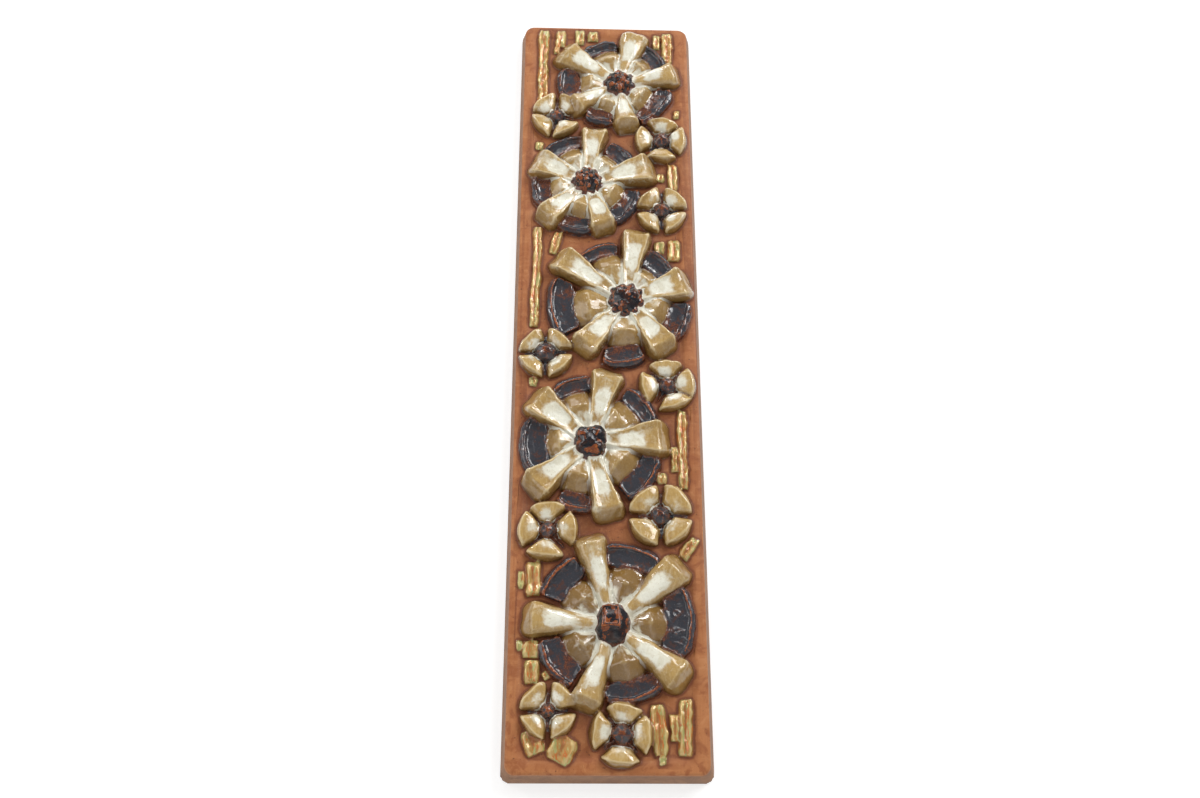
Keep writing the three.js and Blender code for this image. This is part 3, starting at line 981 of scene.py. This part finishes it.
class PLAQUE_OT_fire(bpy.types.Operator):
    """Fuse the forms into one skin, soften it, make it uneven and work out where each glaze lies"""

    bl_idname = "plaque.fire"
    bl_label = "Fire"

    def execute(self, context):
        firing = context.scene.plaque_firing
        parts = {
            "clay": ("slab",),
            "cream": ("large_pale", "small_pale"),
            "dark": ("large_dark", "small_dark"),
            "gold": ("bars",),
        }
        parts = {name: [bpy.data.objects[k] for k in keys] for name, keys in parts.items()}
        trees = {name: tree_of(*objects) for name, objects in parts.items()}
        forms = [item for objects in parts.values() for item in objects]
        plaque = join(forms, "glazed_plaque")
        voxel = firing.voxel * 1
        apply_modifier(plaque, "REMESH", mode="VOXEL", voxel_size=voxel * MM, adaptivity=0)
        drop_bubbles(plaque)
        apply_modifier(plaque, "SMOOTH", factor=0.5, iterations=firing.softening)
        hollow, spots = self.hollows(plaque.data)
        count = sum(len(p.vertices) - 2 for p in plaque.data.polygons)
        apply_modifier(plaque, "DECIMATE", ratio=min(firing.triangles / count, 1))
        mesh = plaque.data
        points, normals = point_values(mesh, "co"), point_values(mesh, "normal")
        away = {name: distances(points, tree) for name, tree in trees.items()}
        self.glaze(mesh, points, normals, away)
        write_attribute(mesh, "hollow", hollow[[spots.find(p)[1] for p in points]])
        self.unevenness(mesh, points, normals, away)
        select_only(plaque)
        bpy.ops.object.shade_smooth()
        mesh.materials.clear()
        mesh.materials.append(glazed_stoneware())
        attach(plaque, "root")
        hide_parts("plaque")
        return {"FINISHED"}

    @staticmethod
    def hollows(mesh):
        """How deep each point of the skin lies in a crease, in millimetres, and a tree of it."""
        points = point_values(mesh, "co")
        edges = np.empty(len(mesh.edges) * 2, np.int32)
        mesh.edges.foreach_get("vertices", edges)
        soft = relaxed(points, edges.reshape(-1, 2), 10)
        depth = ((soft - points) * point_values(mesh, "normal")).sum(axis=1) / MM
        tree = KDTree(len(points))
        for i, p in enumerate(points):
            tree.insert(p, i)
        tree.balance()
        return depth, tree

    @staticmethod
    def glaze(mesh, points, normals, away):
        """Writes where each glaze lies: millimetres inside its edge, and how it pools and fires."""
        for name in GLAZES:
            others = np.min([away[k] for k in away if k != name], axis=0)
            write_attribute(mesh, name, np.clip(others - away[name], -16, 6))
        write_attribute(mesh, "from_clay", np.minimum(away["clay"], 12))
        write_attribute(mesh, "steep", 1 - np.clip(-normals[:, 1], 0, 1))
        pools = Pools(points)
        write_attribute(mesh, "pool", pools.pool)
        write_attribute(mesh, "web", pools.web)
        write_attribute(mesh, "tone", pools.tone)

    @staticmethod
    def unevenness(mesh, points, normals, away):
        """Wavers the forms, swells the clay, roughens the bars and tips the top edge."""
        firing = bpy.context.scene.plaque_firing
        on_bar = fading(0.3, 1.2, away["gold"])
        on_dark = fading(0.3, 1.2, away["dark"])
        on_form = smooth_step(0.8, 3, away["clay"])
        front = smooth_step(0.2, 0.8, -normals[:, 1])
        side = smooth_step(0.6, 0.95, 1 - np.abs(normals[:, 1]))
        swell = noise_at(points, 0.045, 1) * 0.7 + noise_at(points, 0.16, 2) * 0.3
        move = (swell - 0.6) * firing.clay_unevenness * front
        move += side * (1 - on_form) * (noise_at(points, 0.035, 8) - 0.7) * firing.edge_waver
        move += on_form * (noise_at(points, 0.16, 6) - 0.25) * firing.form_unevenness
        rough = noise_at(points * [1, 1, 0.45], 0.55, 3)
        move += on_bar * (rough - 0.2) * firing.bar_unevenness
        x, y, radius = LARGE_FLOWERS[0]["knob"]
        from_knob = np.hypot(points[:, 0] / MM - x, (points[:, 2] - PLAQUE_LOW.z) / MM - y)
        off_knob = smooth_step(radius + 1, radius + 4, from_knob)
        move += on_dark * off_knob * noise_at(points, 0.42, 7) * firing.form_unevenness
        # Every form strays a little from its place, and the slab's own edges hardly at all.
        edge = np.minimum(
            np.minimum(points[:, 0] - PLAQUE_LOW.x, PLAQUE_HIGH.x - points[:, 0]),
            np.minimum(points[:, 2] - PLAQUE_LOW.z, PLAQUE_HIGH.z - points[:, 2]),
        )
        free = smooth_step(0.002, 0.009, edge) * smooth_step(0.010, 0.013, -points[:, 1])
        for axis, seed in ((0, 4), (2, 5)):
            stray = noise_at(points, 0.075, seed) * 0.65 + noise_at(points, 0.19, seed + 4) * 0.35
            points[:, axis] += free * stray * firing.stray * MM
        points += normals * move[:, None] * MM
        high = smooth_step(PLAQUE_HIGH.z - 0.03, PLAQUE_HIGH.z, points[:, 2])
        right = (points[:, 0] - PLAQUE_LOW.x) / (PLAQUE_HIGH.x - PLAQUE_LOW.x)
        points[:, 2] -= high * right * firing.edge_fall * MM
        points = np.clip(points, PLAQUE_LOW, PLAQUE_HIGH)
        mesh.vertices.foreach_set("co", points.astype(np.float32).ravel())
        mesh.update()


# ---- materials -------------------------------------------------------------------------------
class Nodes:
    """Adds nodes to a tree in reading order, and joins them up by their inputs."""

    def __init__(self, tree):
        self.tree = tree

    def add(self, kind, inputs=(), **settings):
        """A node with these settings, and its inputs set or linked by name or number."""
        node = self.tree.nodes.new(kind)
        node.location.x = 200 * len(self.tree.nodes)
        for key, value in settings.items():
            setattr(node, key, value)
        for key, value in dict(inputs).items():
            self.feed(node.inputs[key], value)
        return node

    def feed(self, socket, value):
        """Links a socket to an output, or sets its value."""
        if isinstance(value, bpy.types.NodeSocket):
            self.tree.links.new(value, socket)
        elif socket.type == "RGBA" and len(value) == 3:
            socket.default_value = (*value, 1)
        else:
            socket.default_value = value

    def math(self, operation, a, b=0.0, c=0.0):
        """A Math node's value."""
        return self.add("ShaderNodeMath", {0: a, 1: b, 2: c}, operation=operation).outputs[0]

    def plus(self, a, b, share=1.0):
        """A number plus a share of another."""
        return self.math("ADD", a, b if share == 1 else self.math("MULTIPLY", b, share))

    def times(self, a, b):
        """Two numbers multiplied."""
        return self.math("MULTIPLY", a, b)

    def centred(self, value, spread):
        """A number from 0 to 1 moved to lie evenly about 0, and spread."""
        return self.times(self.math("SUBTRACT", value, 0.5), spread)

    def largest(self, a, b, c):
        """The largest of three numbers."""
        return self.math("MAXIMUM", a, self.math("MAXIMUM", b, c))

    def between(self, value, low, high, start=0.0, end=1.0):
        """The value eased from start at low to end at high."""
        inputs = {"Value": value, "From Min": low, "From Max": high, "To Min": start, "To Max": end}
        return self.add("ShaderNodeMapRange", inputs, interpolation_type="SMOOTHSTEP").outputs[0]

    def mix(self, share, a, b):
        """A colour between a and b."""
        inputs = {0: share, 6: a, 7: b}
        return self.add("ShaderNodeMix", inputs, data_type="RGBA").outputs[2]

    def blend(self, share, a, b):
        """A number between a and b."""
        inputs = {0: share, 2: a, 3: b}
        return self.add("ShaderNodeMix", inputs, data_type="FLOAT").outputs[0]

    def stained(self, color, *stains):
        """A colour with stains over it, each as (number, low, high, most, tint).

        A stain covers nothing where its number is at low, and its most at high."""
        for value, low, high, most, tint in stains:
            color = self.mix(self.between(value, low, high, 0, most), color, tint)
        return color

    def noise(self, vector, size, detail=3.0, roughness=0.5, distortion=0.0):
        """Noise from 0 to 1, with features about size millimetres across."""
        inputs = {
            "Vector": vector,
            "Scale": 1 / (size * MM),
            "Detail": detail,
            "Roughness": roughness,
            "Distortion": distortion,
        }
        return self.add("ShaderNodeTexNoise", inputs).outputs[0]

    def stretched(self, vector, scale):
        """Coordinates squeezed along each axis, so that patterns come out long."""
        return self.add("ShaderNodeMapping", {"Vector": vector, "Scale": scale}).outputs[0]

    def attribute(self, name):
        """A number stored on the mesh."""
        return self.add("ShaderNodeAttribute", attribute_name=name).outputs["Fac"]


def finish_group(name, inputs):
    """An empty finish group: its nodes, and its outer values by name."""
    tree = bpy.data.node_groups.new(name, "ShaderNodeTree")
    tree.interface.new_socket("Vector", in_out="INPUT", socket_type="NodeSocketVector")
    for socket in inputs:
        tree.interface.new_socket(socket, in_out="INPUT", socket_type="NodeSocketFloat")
    tree.interface.new_socket("Color", in_out="OUTPUT", socket_type="NodeSocketColor")
    tree.interface.new_socket("Roughness", in_out="OUTPUT", socket_type="NodeSocketFloat")
    tree.interface.new_socket("Height", in_out="OUTPUT", socket_type="NodeSocketFloat")
    nodes = Nodes(tree)
    return nodes, nodes.add("NodeGroupInput").outputs


def closed_group(nodes, color, roughness, height):
    """A finish group with its three results put out."""
    nodes.add("NodeGroupOutput", {"Color": color, "Roughness": roughness, "Height": height})
    return nodes.tree


# Tints of the finishes beside the colours that a user may change.
CLAY_WARM = (0.34, 0.11, 0.03)
CLAY_BURNT = (0.25, 0.065, 0.017)
CLAY_SANDY = (0.52, 0.235, 0.09)
CLAY_STREAK = (0.27, 0.078, 0.02)
CLAY_SMEAR = (0.52, 0.24, 0.095)
CLAY_AT_GLAZE = (0.15, 0.034, 0.009)
# painted shade: dark red-brown for the clay's creases
CLAY_CREASE_SHADE = (0.15, 0.04, 0.012)
CLAY_PIT = (0.09, 0.03, 0.012)
RAW_PALE = (0.3, 0.16, 0.09)
RAW_SMEAR = (0.16, 0.08, 0.045)
GRAIN_PALE = (0.56, 0.3, 0.15)
GRAIN_DARK = (0.16, 0.055, 0.02)
TAN_DEEP = (0.4, 0.245, 0.072)
TAN_PALE = (0.55, 0.4, 0.2)
RUN_DARK = (0.33, 0.185, 0.05)
RUN_PALE = (0.6, 0.44, 0.2)
# thin glaze on steep sides, darkened further as painted shade
SIDES_THIN_AND_SHADED = (0.18, 0.095, 0.022)
# thin glaze at the feet, darkened further as painted shade where the forms meet the clay
FOOT_THIN_AND_SHADED = (0.11, 0.042, 0.012)
# glaze breaking pale over ridges, and a painted highlight along them
RIDGE_PALE_AND_HIGHLIGHT = (0.68, 0.54, 0.3)
# painted shade for the glaze's creases
TAN_CREASE_SHADE = (0.13, 0.055, 0.014)
VEIL = (0.66, 0.56, 0.38)
CREAM_GREY = (0.7, 0.665, 0.53)
SPECKLE = (0.4, 0.23, 0.08)
BED_BLUE = (0.07, 0.065, 0.08)
KNOB_BLACK = (0.005, 0.005, 0.009)
KNOB_BROWN = (0.03, 0.008, 0.004)
RIM_RED = (0.22, 0.062, 0.02)
RIM_BROWN = (0.075, 0.022, 0.011)
RUST_DEEP = (0.2, 0.045, 0.011)
LUSTRE_BRONZE = (0.5, 0.24, 0.055)
LUSTRE_PALE = (0.6, 0.48, 0.2)
# painted shade for the bars' edges
LUSTRE_EDGE_SHADE = (0.24, 0.11, 0.03)
# painted shade for the bars' grooves
LUSTRE_GROOVE_SHADE = (0.33, 0.1, 0.03)
# painted highlight for the bars' ridges
LUSTRE_RIDGE_HIGHLIGHT = (0.7, 0.52, 0.22)


def clay_group(colours):
    """Fired clay: patchy, stained dark beside the glazes, with painted shade in its creases, and
    dry on the sides and the back, which are also darkened as painted shade.
    """
    nodes, given = finish_group("Clay Body", ("Beside Glaze", "Hollow", "Raw"))
    vector, beside = given["Vector"], given["Beside Glaze"]
    patches = nodes.noise(vector, 24, 3, 0.55)
    grain = nodes.noise(vector, 1.0, 4, 0.65)
    streaks = nodes.noise(nodes.stretched(vector, (1, 1, 0.1)), 2.4, 4, 0.65)
    smears = nodes.noise(nodes.stretched(vector, (0.16, 1, 1)), 3.2, 4, 0.65)
    blotches = nodes.noise(vector, 9, 3, 0.6, 0.8)
    pits = nodes.noise(vector, 1.7, 1, 0.5)
    color = nodes.stained(
        colours.clay,
        (patches, 0.35, 0.7, 1, CLAY_WARM),
        (blotches, 0.5, 0.66, 0.65, CLAY_BURNT),
        (blotches, 0.44, 0.3, 0.55, CLAY_SANDY),
        (streaks, 0.5, 0.75, 0.4, CLAY_STREAK),
        (smears, 0.5, 0.75, 0.4, CLAY_SMEAR),
    )
    uneven = nodes.between(nodes.plus(patches, smears, 0.5), 0.5, 0.95, 0.85, 0.3)
    color = nodes.mix(nodes.times(beside, uneven), color, colours.clay_deep)
    color = nodes.stained(
        color,
        (beside, 0.8, 1, 0.75, CLAY_AT_GLAZE),
        # painted shade: the clay darkens where it lies in a crease
        (given["Hollow"], 0.05, 0.3, 0.5, CLAY_CREASE_SHADE),
        (pits, 0.7, 0.76, 0.7, CLAY_PIT),
    )
    # dry clay on the sides and the back: greyer than the front, and darker as painted shade
    dry_clay_and_shade = nodes.stained(
        colours.clay_raw_and_shade,
        (blotches, 0.35, 0.7, 1, RAW_PALE),
        (smears, 0.5, 0.72, 0.6, RAW_SMEAR),
    )
    color = nodes.stained(
        nodes.mix(given["Raw"], color, dry_clay_and_shade),
        (grain, 0.56, 0.8, 0.35, GRAIN_PALE),
        (grain, 0.42, 0.22, 0.5, GRAIN_DARK),
    )
    roughness = nodes.blend(given["Raw"], nodes.between(streaks, 0.3, 0.7, 0.5, 0.66), 0.8)
    height = nodes.plus(nodes.times(grain, 0.16), streaks, 0.16)
    return closed_group(nodes, color, roughness, nodes.plus(height, smears, 0.2))


def cream_group(colours):
    """Cream glaze: white where it pools or lies in a crease, tan over forms, ochre at its edges,
    with painted shade on steep sides, at the feet and in creases, and a painted highlight along
    ridges.
    """
    inputs = ("Pool", "Web", "Tone", "Steep", "Hollow", "From Clay")
    nodes, given = finish_group("Cream Glaze", inputs)
    vector, pool, hollow, tone = (given[k] for k in ("Vector", "Pool", "Hollow", "Tone"))
    broad = nodes.noise(vector, 7, 3, 0.55, 0.5)
    fine = nodes.noise(vector, 1.6, 3, 0.6)
    runs = nodes.noise(nodes.stretched(vector, (1, 1, 0.2)), 1.5, 3, 0.6, 0.4)
    spread = nodes.plus(nodes.centred(broad, 1.05), nodes.centred(fine, 0.2))
    pooled = nodes.between(nodes.plus(pool, spread), 0.44, 0.86)
    crease = nodes.between(nodes.plus(hollow, nodes.centred(fine, 0.12)), 0.07, 0.13)
    white = nodes.math("MAXIMUM", pooled, nodes.times(crease, given["Web"]))
    tan = nodes.stained(
        colours.tan,
        (broad, 0.32, 0.68, 1, TAN_DEEP),
        (fine, 0.5, 0.75, 0.5, TAN_PALE),
        (runs, 0.52, 0.66, 0.45, RUN_DARK),
        (runs, 0.46, 0.34, 0.5, RUN_PALE),
    )
    tan = nodes.stained(
        nodes.mix(tone, tan, colours.ochre),
        # steep sides: thin glaze, and painted shade
        (given["Steep"], 0.22, 0.7, 0.72, SIDES_THIN_AND_SHADED),
        # feet by the clay: thin glaze, and painted shade
        (given["From Clay"], 2.6, 0.2, 0.9, FOOT_THIN_AND_SHADED),
    )
    # ridges: the glaze breaks pale, and a painted highlight runs along them
    ridge = nodes.between(nodes.plus(hollow, fine, 0.1), -0.06, -0.2, 0, 0.75)
    ridge = nodes.times(ridge, nodes.between(tone, 0.3, 1, 1, 0.25))
    tan = nodes.mix(ridge, tan, RIDGE_PALE_AND_HIGHLIGHT)
    # painted shade: brown in the creases
    tan = nodes.stained(tan, (hollow, 0.0, 0.16, 0.85, TAN_CREASE_SHADE))
    veil = nodes.between(nodes.plus(pool, spread, 0.8), 0.02, 0.6, 0, 0.5)
    milky = nodes.between(nodes.noise(vector, 3.4, 3, 0.6, 0.8), 0.45, 0.68, 0.1, 1)
    veil = nodes.times(nodes.times(veil, milky), nodes.between(tone, 0, 0.8, 1, 0.15))
    tan = nodes.mix(veil, tan, VEIL)
    pale = nodes.stained(colours.cream, (broad, 0.45, 0.65, 1, CREAM_GREY))
    speckles = nodes.noise(vector, 0.9, 2, 0.5)
    color = nodes.stained(nodes.mix(white, tan, pale), (speckles, 0.62, 0.7, 0.4, SPECKLE))
    roughness = nodes.between(fine, 0.3, 0.75, 0.04, 0.14)
    height = nodes.plus(nodes.times(nodes.noise(vector, 3.6, 2, 0.5), 1.1), fine, 0.16)
    return closed_group(nodes, color, roughness, nodes.plus(height, runs, 0.25))


def dark_group(colours):
    """Dark glaze: blue-black in its beds, brown in patches and rust where it breaks over edges."""
    nodes, given = finish_group("Dark Glaze", ("Hollow", "Inside", "Knob", "Plain"))
    vector, hollow, on_knob, plain = (given[k] for k in ("Vector", "Hollow", "Knob", "Plain"))
    broad = nodes.noise(vector, 5, 3, 0.6, 0.6)
    fine = nodes.noise(vector, 1.1, 3, 0.6)
    flecks = nodes.noise(vector, 5.5, 2, 0.5, 0.8)
    region = nodes.noise(vector, 34, 1, 0.5)
    bed = nodes.stained(
        colours.black,
        (broad, 0.5, 0.66, 0.7, colours.brown),
        (fine, 0.5, 0.75, 0.3, BED_BLUE),
    )
    heart = nodes.stained(KNOB_BLACK, (broad, 0.45, 0.62, 1, KNOB_BROWN))
    color = nodes.mix(on_knob, bed, heart)
    wide = nodes.plus(given["Inside"], nodes.centred(flecks, 6))
    wide = nodes.plus(wide, nodes.between(region, 0.42, 0.62, 1.0, -1.4))
    rim = nodes.between(nodes.plus(wide, fine), 2.6, 0.8, 0, 0.85)
    rim = nodes.times(rim, nodes.math("SUBTRACT", 1, on_knob))
    color = nodes.mix(rim, color, nodes.stained(RIM_RED, (fine, 0.35, 0.6, 1, RIM_BROWN)))
    edge = nodes.plus(nodes.plus(hollow, nodes.centred(fine, 0.2)), plain, 0.14)
    rust = nodes.between(edge, -0.12, -0.26)
    rust = nodes.times(rust, nodes.between(broad, 0.25, 0.45, 0.5, 1))
    valley = nodes.between(hollow, -0.05, 0.16)
    patch = nodes.between(nodes.plus(flecks, valley, 0.1), 0.55, 0.61, 0, 0.85)
    patch = nodes.times(nodes.times(on_knob, patch), nodes.between(plain, 0, 1, 1, 0.15))
    rust = nodes.math("MAXIMUM", rust, patch)
    rusty = nodes.stained(colours.rust, (fine, 0.3, 0.6, 1, RUST_DEEP))
    color = nodes.mix(rust, color, rusty)
    roughness = nodes.between(fine, 0.3, 0.75, 0.12, 0.3)
    height = nodes.times(nodes.noise(vector, 2.6, 2, 0.5), 0.7)
    return closed_group(nodes, color, roughness, height)


def lustre_group(colours):
    """Lustre: gold with copper streaks along the bars and green at their edges, with painted shade
    at the edges and in the groove and a painted highlight along the ridges.
    """
    nodes, given = finish_group("Gold Lustre", ("Inside", "Hollow"))
    vector, inside, hollow = (given[k] for k in ("Vector", "Inside", "Hollow"))
    streak = nodes.noise(nodes.stretched(vector, (1, 1, 0.22)), 1.4, 3, 0.6, 0.5)
    second = nodes.noise(nodes.stretched(vector, (1.3, 1, 0.3)), 2.8, 3, 0.6, 0.3)
    greenish = nodes.plus(second, nodes.between(inside, 1.9, 0.7), 0.14)
    color = nodes.stained(
        colours.gold,
        (second, 0.4, 0.62, 1, LUSTRE_BRONZE),
        (streak, 0.53, 0.58, 0.95, colours.copper),
        (greenish, 0.53, 0.59, 0.85, colours.green),
        (streak, 0.4, 0.34, 0.7, LUSTRE_PALE),
        # painted shade: dark outline at the bars' edges
        (inside, 0.7, 0.05, 0.75, LUSTRE_EDGE_SHADE),
        # painted shade: dark in the groove
        (hollow, 0.02, 0.14, 0.8, LUSTRE_GROOVE_SHADE),
        # painted highlight: bright gold along the ridges
        (hollow, -0.08, -0.18, 0.7, LUSTRE_RIDGE_HIGHLIGHT),
    )
    roughness = nodes.between(second, 0.3, 0.7, 0.08, 0.22)
    return closed_group(nodes, color, roughness, nodes.times(streak, 1.6))


def empty_material(name):
    """A material without nodes, and the adder of its nodes."""
    material = bpy.data.materials.new(name)
    material.use_nodes = True
    material.node_tree.nodes.clear()
    return material, Nodes(material.node_tree)


def glazed_stoneware():
    """The plaque's one material: clay with three glazes laid over it by the stored edges."""
    colours = bpy.context.scene.plaque_colours
    material, nodes = empty_material("glazed_stoneware")
    vector = nodes.add("ShaderNodeTexCoord").outputs["Object"]
    names = (*GLAZES, "from_clay", "hollow", "steep", "pool", "web", "tone")
    stored = {name: nodes.attribute(name) for name in names}

    # Each glaze's edge wavers and is soft by these millimetres, and dry clay, darker partly as
    # painted shade, begins at a depth.
    ragged, soft = 1.3, 0.22
    dry_from, dry_to = -12.8 * MM, -11.2 * MM
    waver = nodes.centred(nodes.noise(vector, 1.8, 3, 0.6), ragged)
    masks = {n: nodes.between(nodes.plus(stored[n], waver), -soft, soft) for n in GLAZES}
    nearest = nodes.largest(*(stored[n] for n in GLAZES))
    depth = nodes.add("ShaderNodeSeparateXYZ", {0: vector}).outputs["Y"]
    on_knob = nodes.between(stored["from_clay"], 6.5, 8.5)  # only knobs stand so far off the clay
    given = {name.replace("_", " ").title(): value for name, value in stored.items()}
    given |= {
        "Vector": vector,
        "Beside Glaze": nodes.between(nodes.plus(nearest, waver), -7, -0.3),
        "Raw": nodes.between(depth, dry_from, dry_to),
        "Knob": on_knob,
        "Plain": stored["tone"],
    }

    groups = {
        "clay": clay_group(colours),
        "cream": cream_group(colours),
        "dark": dark_group(colours),
        "gold": lustre_group(colours),
    }
    color = roughness = height = None
    for name, group in groups.items():
        node = nodes.add("ShaderNodeGroup", node_tree=group)
        for socket in node.inputs:
            nodes.feed(socket, stored[name] if socket.name == "Inside" else given[socket.name])
        finish = [node.outputs[k] for k in ("Color", "Roughness", "Height")]
        if name == "clay":
            color, roughness, height = finish
            continue
        color = nodes.mix(masks[name], color, finish[0])
        roughness = nodes.blend(masks[name], roughness, finish[1])
        height = nodes.blend(masks[name], height, finish[2])

    shine = nodes.blend(on_knob, 0.4, 0.22)
    shine = nodes.blend(masks["dark"], nodes.times(masks["cream"], 0.68), shine)
    shine = nodes.blend(masks["gold"], shine, 0.5)
    raised = nodes.plus(height, nodes.largest(*masks.values()), 0.25)
    bump = nodes.add("ShaderNodeBump", {"Height": raised, "Strength": 0.6, "Distance": 0.6 * MM})
    shader = nodes.add(
        "ShaderNodeBsdfPrincipled",
        {
            "Base Color": color,
            "Roughness": roughness,
            "Metallic": nodes.times(masks["gold"], 0.2),
            "Normal": bump.outputs["Normal"],
            "IOR": 1.45,
            "Coat Weight": shine,
            "Coat IOR": 1.55,
            "Coat Roughness": 0.04,
        },
    )
    nodes.add("ShaderNodeOutputMaterial", {"Surface": shader.outputs[0]})
    return material


# ---- the stage -------------------------------------------------------------------------------
def wall_paint(colour_value):
    """White paint that is solid from the front, and lets the view and the light through behind."""
    material, nodes = empty_material("wall_paint")
    behind = nodes.add("ShaderNodeNewGeometry").outputs["Backfacing"]
    shadow = nodes.add("ShaderNodeLightPath").outputs["Is Shadow Ray"]
    paint = nodes.add(
        "ShaderNodeBsdfPrincipled",
        {
            "Base Color": colour_value,
            "Roughness": 0.9,
            "Emission Color": (1, 1, 1),
            "Emission Strength": 0.62,
        },
    )
    clear = nodes.add("ShaderNodeBsdfTransparent")
    share = nodes.math("MAXIMUM", behind, shadow)
    inputs = {0: share, 1: paint.outputs[0], 2: clear.outputs[0]}
    mixed = nodes.add("ShaderNodeMixShader", inputs)
    nodes.add("ShaderNodeOutputMaterial", {"Surface": mixed.outputs[0]})
    return material


def floor_paint(colour_value):
    """Plain pale floor."""
    material = bpy.data.materials.new("floor_paint")
    material.use_nodes = True
    shader = material.node_tree.nodes["Principled BSDF"]
    shader.inputs["Base Color"].default_value = (*colour_value, 1)
    shader.inputs["Roughness"].default_value = 0.8
    return material


def softbox(name, place, size, power):
    """A large soft light at a place, looking at the middle of the plaque."""
    data = bpy.data.lights.new(name, "AREA")
    data.shape = "RECTANGLE"
    data.size, data.size_y = size
    data.energy = power
    light = bpy.data.objects.new(name, data)
    bpy.context.scene.collection.objects.link(light)
    light.location = place
    light.rotation_mode = "QUATERNION"
    light.rotation_quaternion = (Vector() - Vector(place)).to_track_quat("-Z", "Y")


class PLAQUE_OT_stage(bpy.types.Operator):
    """Set up the wall, the floor, the camera and the lights"""

    bl_idname = "plaque.stage"
    bl_label = "Stage"

    def execute(self, context):
        stage = context.scene.plaque_stage
        self.backdrop(stage)
        self.camera(context.scene, stage)

        softbox("key light", (1.45, -1.6, 1.25), (1.15, 1.15), stage.key_power)
        softbox("top light", (-0.5, -1.1, 2.5), (2.0, 1.2), stage.top_power)
        softbox("side light", (-1.1, -0.7, 0.0), (0.7, 1.2), stage.side_power)
        softbox("low light", (0.25, -0.9, -1.1), (1.2, 0.6), stage.low_power)
        softbox("back light", (0.3, 1.2, 0.6), (1.2, 1.2), stage.back_power)
        lamps = (
            (-0.75, -0.6, 1.15),
            (0.9, -0.6, 0.7),
            (-0.3, -0.7, 1.5),
            (-0.7, -0.7, 0.35),
            (0.35, -0.8, 0.8),
        )
        for place in lamps:
            softbox("small lamp", place, (0.09, 0.09), stage.lamp_power)

        world = bpy.data.worlds.new("room")
        world.use_nodes = True
        background = world.node_tree.nodes["Background"]
        background.inputs["Color"].default_value = (1, 1, 1, 1)
        background.inputs["Strength"].default_value = stage.sky
        context.scene.world = world
        context.scene.view_settings.view_transform = "Standard"
        return {"FINISHED"}

    @staticmethod
    def backdrop(stage):
        """The wall, just behind the plaque's back, and the floor."""
        standing = (math.radians(90), 0, 0)
        deselect()
        bpy.ops.mesh.primitive_plane_add(size=3, rotation=standing, location=(0, 0.0006, 0.2))
        wall = bpy.context.object
        wall.name = "wall"
        wall.data.materials.append(wall_paint(stage.wall_colour))
        deselect()
        bpy.ops.mesh.primitive_plane_add(size=6, location=(0, 0, -stage.floor_drop))
        floor = bpy.context.object
        floor.name = "floor"
        floor.data.materials.append(floor_paint(stage.floor_colour))

    @staticmethod
    def camera(scene, stage):
        """The camera, low in front of the plaque and looking up."""
        data = bpy.data.cameras.new("camera")
        data.lens = stage.lens
        data.clip_start = 0.01
        camera = bpy.data.objects.new("camera", data)
        scene.collection.objects.link(camera)
        camera.location = stage.camera_place
        level, turn = stage.camera_tilt, stage.camera_pan
        ahead = math.cos(level)
        look = Vector((math.sin(turn) * ahead, math.cos(turn) * ahead, math.sin(level)))
        camera.rotation_mode = "QUATERNION"
        camera.rotation_quaternion = look.to_track_quat("-Z", "Y")
        scene.camera = camera


# ---- panel and registration ------------------------------------------------------------------
class PLAQUE_PT_panel(bpy.types.Panel):
    """The plaque's steps and settings"""

    bl_idname = "PLAQUE_PT_panel"
    bl_label = "Stoneware Flower Plaque"
    bl_space_type = "VIEW_3D"
    bl_region_type = "UI"
    bl_category = "Plaque"

    def draw(self, context):
        for step in STEPS:
            self.layout.operator(step.bl_idname)
        for name in GROUPS:
            settings = getattr(context.scene, name)
            box = self.layout.box()
            for key in settings.__annotations__:
                box.prop(settings, key)


STEPS = (
    PLAQUE_OT_slab,
    PLAQUE_OT_large_flowers,
    PLAQUE_OT_small_flowers,
    PLAQUE_OT_bars,
    PLAQUE_OT_fire,
    PLAQUE_OT_stage,
)
GROUPS = {
    "plaque_slab": PlaqueSlabSizes,
    "plaque_relief": PlaqueReliefSizes,
    "plaque_firing": PlaqueFiring,
    "plaque_colours": PlaqueColours,
    "plaque_stage": PlaqueStage,
}


def register():
    """Registers the classes and hangs the settings on the scene."""
    for item in (*GROUPS.values(), *STEPS, PLAQUE_PT_panel):
        bpy.utils.register_class(item)
    for name, group in GROUPS.items():
        setattr(bpy.types.Scene, name, PointerProperty(type=group))


def unregister():
    """Takes the settings and the classes away again."""
    for name in GROUPS:
        delattr(bpy.types.Scene, name)
    for item in reversed((*GROUPS.values(), *STEPS, PLAQUE_PT_panel)):
        bpy.utils.unregister_class(item)


def main():
    """Makes the plaque and its stage."""
    register()
    bpy.ops.plaque.slab()
    bpy.ops.plaque.large_flowers()
    bpy.ops.plaque.small_flowers()
    bpy.ops.plaque.bars()
    bpy.ops.plaque.fire()
    bpy.ops.plaque.stage()


if __name__ == "__main__":
    main()
